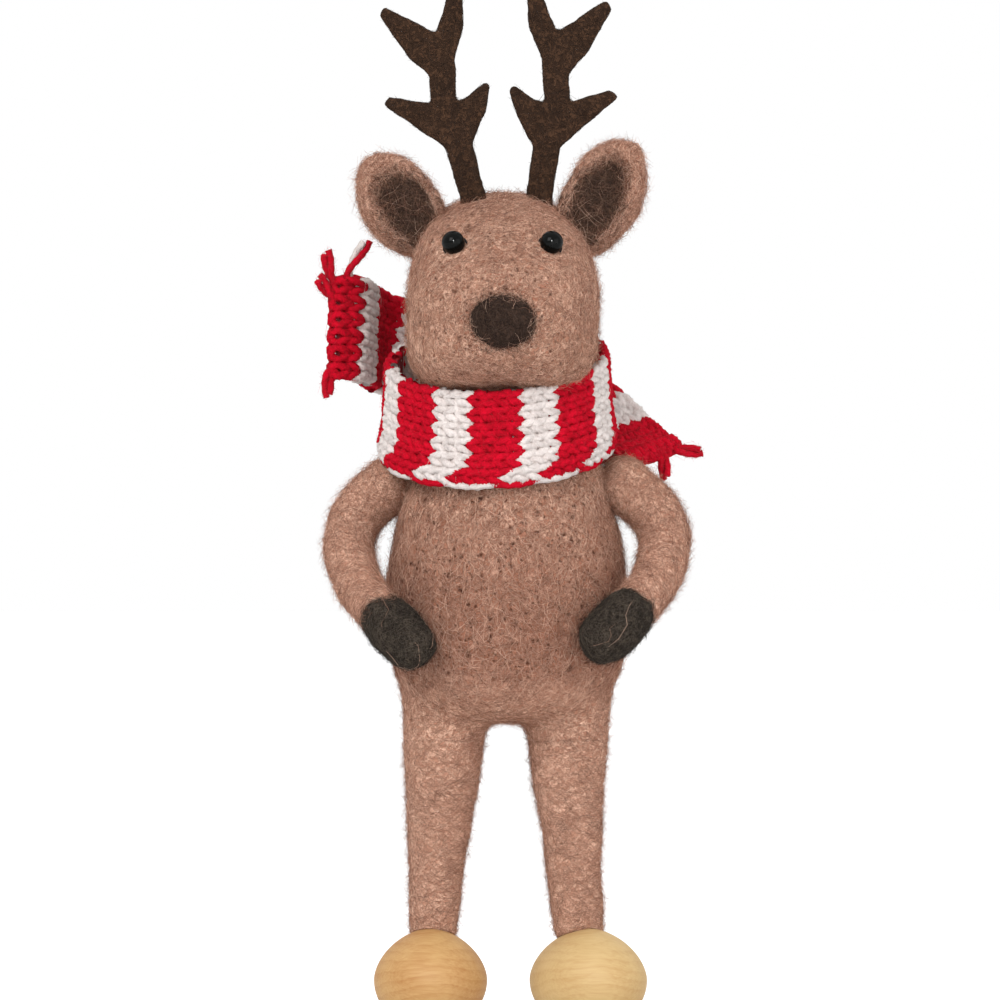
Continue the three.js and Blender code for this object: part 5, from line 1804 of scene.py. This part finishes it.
    def build(self, shop: Workshop) -> None:
        """Knits the scarf and ties its fringe."""
        noise.seed_set(self.seed)
        band = self.band()
        red_run, white_run = self.red_courses * self.course, self.white_courses * self.course
        front = float(np.interp(self.front_angle, np.linspace(*self.band_angles), band.runs))
        parts = [(band, front - red_run / 2, True, True, self.wales)]
        for name in SIDES:
            tail = self.tail(name)
            parts.append((tail, tail.length - self.end_courses[name] * self.course, False, False, self.wales))
        parts.append((self.knot_wrap(), 0.0, True, False, self.knot_wales))
        shells, maps, length = [], [], 0.0
        lines: dict[bool, list[Array]] = {True: [], False: []}
        for strip, red_start, closed, rolled, wales in parts:
            shell, places = self.ground(strip, red_start, closed, rolled)
            shells.append(shell)
            maps.append(places)
            length += strip.length
            faces = (self.band_face,) if closed else (self.face, -self.face)
            stripes = self.stripes(strip.length, red_start)
            for red, start, courses in stripes:
                lines[red] += [self.loops(strip, start, courses, wales, rolled, face) for face in faces]
            if rolled:
                for red, start, courses in stripes:
                    lines[not red].append(self.edge_float(strip, start, courses))
        sheet = shells[0].joined(*shells[1:]).piece("scarf_ground")
        self.store_map(sheet, np.concatenate(maps))
        sheet.data.materials.append(KnitGround(red_run, white_run).material())
        shop.join(sheet, *KNIT, "scarf")
        fluff = Coat(0.18, 2.6, 0.045, 0.7, 0.8, loose=0.7, points=3, seed=23)
        for yarn, red in ((RED_YARN, True), (WHITE_YARN, False)):
            finish = shop.finish(yarn.strand, f"{yarn.name}_yarn")
            wool = shop.spinner.spin(f"scarf_{yarn.name}", lines[red], self.yarn, self.twist, finish)
            mark(wool)
            shop.join(wool, *KNIT)
            shop.fluff(wool, yarn, KNIT, fluff=fluff)
        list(self.build_fringe(shop))

    @staticmethod
    def store_map(thing: Object, places: Array) -> None:
        """Stores the striped map on a sheet."""
        layer = thing.data.uv_layers.new(name=STRIPE_MAP)
        corners = np.empty(len(thing.data.loops), np.int32)
        thing.data.loops.foreach_get("vertex_index", corners)
        layer.data.foreach_set("uv", places[corners].astype(np.float32).ravel())

    def build_fringe(self, shop: Workshop) -> list[Object]:
        """Knots doubled yarn into the tails' corners."""
        counts = dict.fromkeys(SIDES, 0)
        made = []
        red, white = (shop.finish(yarn.strand, f"{yarn.name}_yarn") for yarn in (RED_YARN, WHITE_YARN))
        fluff = Coat(1.6, 2.4, 0.045, 0.9, 0.7, loose=1.0, points=4, seed=24)
        for name, in_edge, over, lay in self.strands:
            counts[name] += 1
            title = f"{name}_{counts[name]}"
            first, second = self.pair(name, in_edge, over, lay)
            lines = [first] if in_edge else [first, second]
            tassel = shop.spinner.spin(f"tassel_{title}", lines, self.strand_yarn, self.strand_twist, red)
            mark(tassel)
            shop.join(tassel, *KNIT, f"fringe_{title}")
            shop.fluff(tassel, RED_YARN, KNIT, fluff=fluff)
            made.append(tassel)
            if in_edge:
                other = shop.spinner.spin(
                    f"tassel_{title}_white", [second], self.strand_yarn, self.strand_twist, white)
                shop.join(other, *KNIT)
                made.append(other)
        return made

    def pair(self, name: str, in_edge: bool, over: float, lay: Triple) -> tuple[Array, Array]:
        """The two yarns of one strand.

        Args:
            name: The tail that it is knotted into.
            in_edge: Whether it is knotted into the upper edge, and not into the end.
            over: Where in the half width.
            lay: Its way outwards, back and up.

        Returns:
            Points along each yarn.
        """
        tail = self.tail(name)
        outwards = np.array((SIDES[name], 1, 1))
        run = np.array((tail.length - (self.strand_inset if in_edge else 0.0),))
        start = tail.at(run, np.array((over,)), np.zeros(1))[0]
        index = int(np.searchsorted(tail.runs, run[0] - 0.01))
        way = tail.overs[index] if in_edge else tangents(tail.middles)[index]
        bend = start + way * self.strand_root
        end = bend + np.array(lay) * outwards * self.strand_length
        line = spline(np.array((start - way * self.strand_sunk, bend, end)), self.strand_points)
        along = tangents(line)
        beside = unit(np.cross(along, OFF_STRANDS))
        angle = np.linspace(*self.pair_turn, self.strand_points)[:, None]
        spread = np.linspace(*self.pair_spread, self.strand_points)[:, None]
        swing = (beside * np.cos(angle) + np.cross(along, beside) * np.sin(angle)) * spread
        return line + swing, (line - swing)[:self.second_points]


@dataclass
class Insides:
    """The solids that stay as they are: the stuffing and the wires."""

    finishes: dict[str, Plain] = field(default_factory=lambda: {"core": STUFFING, "wire": STEEL})

    def build(self) -> None:
        """Gives each solid the finish that its name asks for."""
        for kind, finish in self.finishes.items():
            material = finish.material()
            for name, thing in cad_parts.items():
                if kind in name:
                    thing.data.materials.clear()
                    thing.data.materials.append(material)
                    LOG.info("%s keeps its solid", name)


@dataclass
class Studio:
    """A plain pale floor, soft light and a camera that looks as the photograph does."""

    view_width: float = 175.0  # what the picture spans at the figure
    aim: Triple = (-1.225, 0.0, 88.55)
    distance: float = 3000.0
    rise: float = 32.0  # the camera over what it looks at
    ambient: float = 0.8
    floor_glow: float = 0.42  # that brings the floor near the white of the backdrop
    floor_reach: float = 4000.0
    sensor: float = 36.0
    # Name, place, size, power, and whether it lights surfaces or only shows in what is polished
    lamps: tuple[tuple[str, Triple, float, float, bool], ...] = (
        ("key", (-420, -900, 760), 620, 7.6, True),
        ("fill", (700, -620, 300), 700, 2.2, True),
        ("low", (150, -1000, 60), 500, 1.6, True),
        ("spark", (40, -1000, 430), 170, 10.0, False),
    )
    lamp_aim: float = 90.0  # height of the figure's middle

    def build(self) -> None:
        """Builds the stage."""
        self.build_camera()
        self.build_world()
        self.build_floor()
        self.build_lamps()

    def build_camera(self) -> None:
        """Sets the camera square to the figure's front."""
        data = bpy.data.cameras.new("camera")
        data.sensor_width = self.sensor
        data.lens = self.sensor * self.distance / self.view_width
        data.clip_start, data.clip_end = 0.05, 50.0
        camera = put_in_scene("camera", data)
        target = np.array(self.aim) + SHIFT
        place = target + np.array((0, -self.distance, self.rise))
        camera.location = place * MM
        camera.rotation_euler = Vector(target - place).to_track_quat("-Z", "Y").to_euler()
        bpy.context.scene.camera = camera
        bpy.context.scene.view_settings.view_transform = "Standard"

    def seen(self, graph: Graph) -> Wire:
        """1 for rays that show the background, and 0 for those that only light."""
        path = graph.node("ShaderNodeLightPath", output="Is Camera Ray")
        either = graph.maths("MAXIMUM", path, path.output("Is Glossy Ray"))
        return graph.maths("MAXIMUM", either, path.output("Is Transmission Ray"))

    def build_world(self) -> None:
        """A world that looks white and lights softly."""
        world = bpy.data.worlds.new("studio")
        world.use_nodes = True
        bpy.context.scene.world = world
        graph = Graph(world.node_tree)
        seen = self.seen(graph)
        back = world.node_tree.nodes["Background"]
        back.inputs["Color"].default_value = (1.0, 1.0, 1.0, 1.0)
        graph.feed(back.inputs["Strength"], seen + (1 - seen) * self.ambient)

    def build_floor(self) -> None:
        """A wide pale floor that keeps the figure's shadow."""
        size = self.floor_reach
        corners = np.array(((-size, -size, 0), (size, -size, 0), (size, size, 0), (-size, size, 0)))
        floor = Shell(corners - SHIFT * (0, 0, 1), [(0, 1, 2, 3)]).piece("floor")
        paint = Paint("floor")
        speck = paint.cloud(paint.place(), 0.02, 2.0)
        seen = self.seen(paint)
        floor.data.materials.append(paint.finish(
            Base_Color=paint.mix(speck, (0.86, 0.86, 0.86), (0.9, 0.9, 0.9)),
            Roughness=0.9,
            Specular_IOR_Level=0.1,
            Emission_Color=paint.mix(seen, (0.0, 0.0, 0.0), (self.floor_glow,) * 3),
            Emission_Strength=1.0,
        ))

    def build_lamps(self) -> None:
        """Soft square lamps that face the figure's middle."""
        for name, place, size, power, diffuse in self.lamps:
            data = bpy.data.lights.new(name, "AREA")
            data.size = size * MM
            data.energy = power
            light = put_in_scene(name, data)
            light.location = Vector(place) * MM
            way = Vector((0, 0, self.lamp_aim)) - Vector(place)
            light.rotation_euler = way.to_track_quat("-Z", "Y").to_euler()
            light.visible_diffuse = diffuse


def main() -> None:
    """Builds the pieces in order."""
    logging.basicConfig(level=logging.INFO, format="%(message)s")
    shop = Workshop()
    Studio().build()
    feet = {"left": Foot("left", toe_out=24.0), "right": Foot("right", toe_out=4.0)}
    for foot in feet.values():
        foot.build(shop)
    trunk = Trunk(feet)
    scarf = Scarf(trunk)
    trunk.build(shop, scarf.hides)
    head = Head()
    head.build(shop)
    Ear("left", head, length=22.0, tilt=26.8).build(shop)
    Antler("left", head, lean=-6.6, place=(0.3, 70.8)).build(shop)
    Arm("left", trunk, drop=27.6).build(shop)
    Ear("right", head, length=20.2, tilt=35.0).build(shop)
    Antler("right", head, lean=-0.2, place=(0.3, 75.4)).build(shop)
    Arm("right", trunk, drop=28.6).build(shop)
    scarf.build(shop)
    Insides().build()


if __name__ == "__main__":
    main()
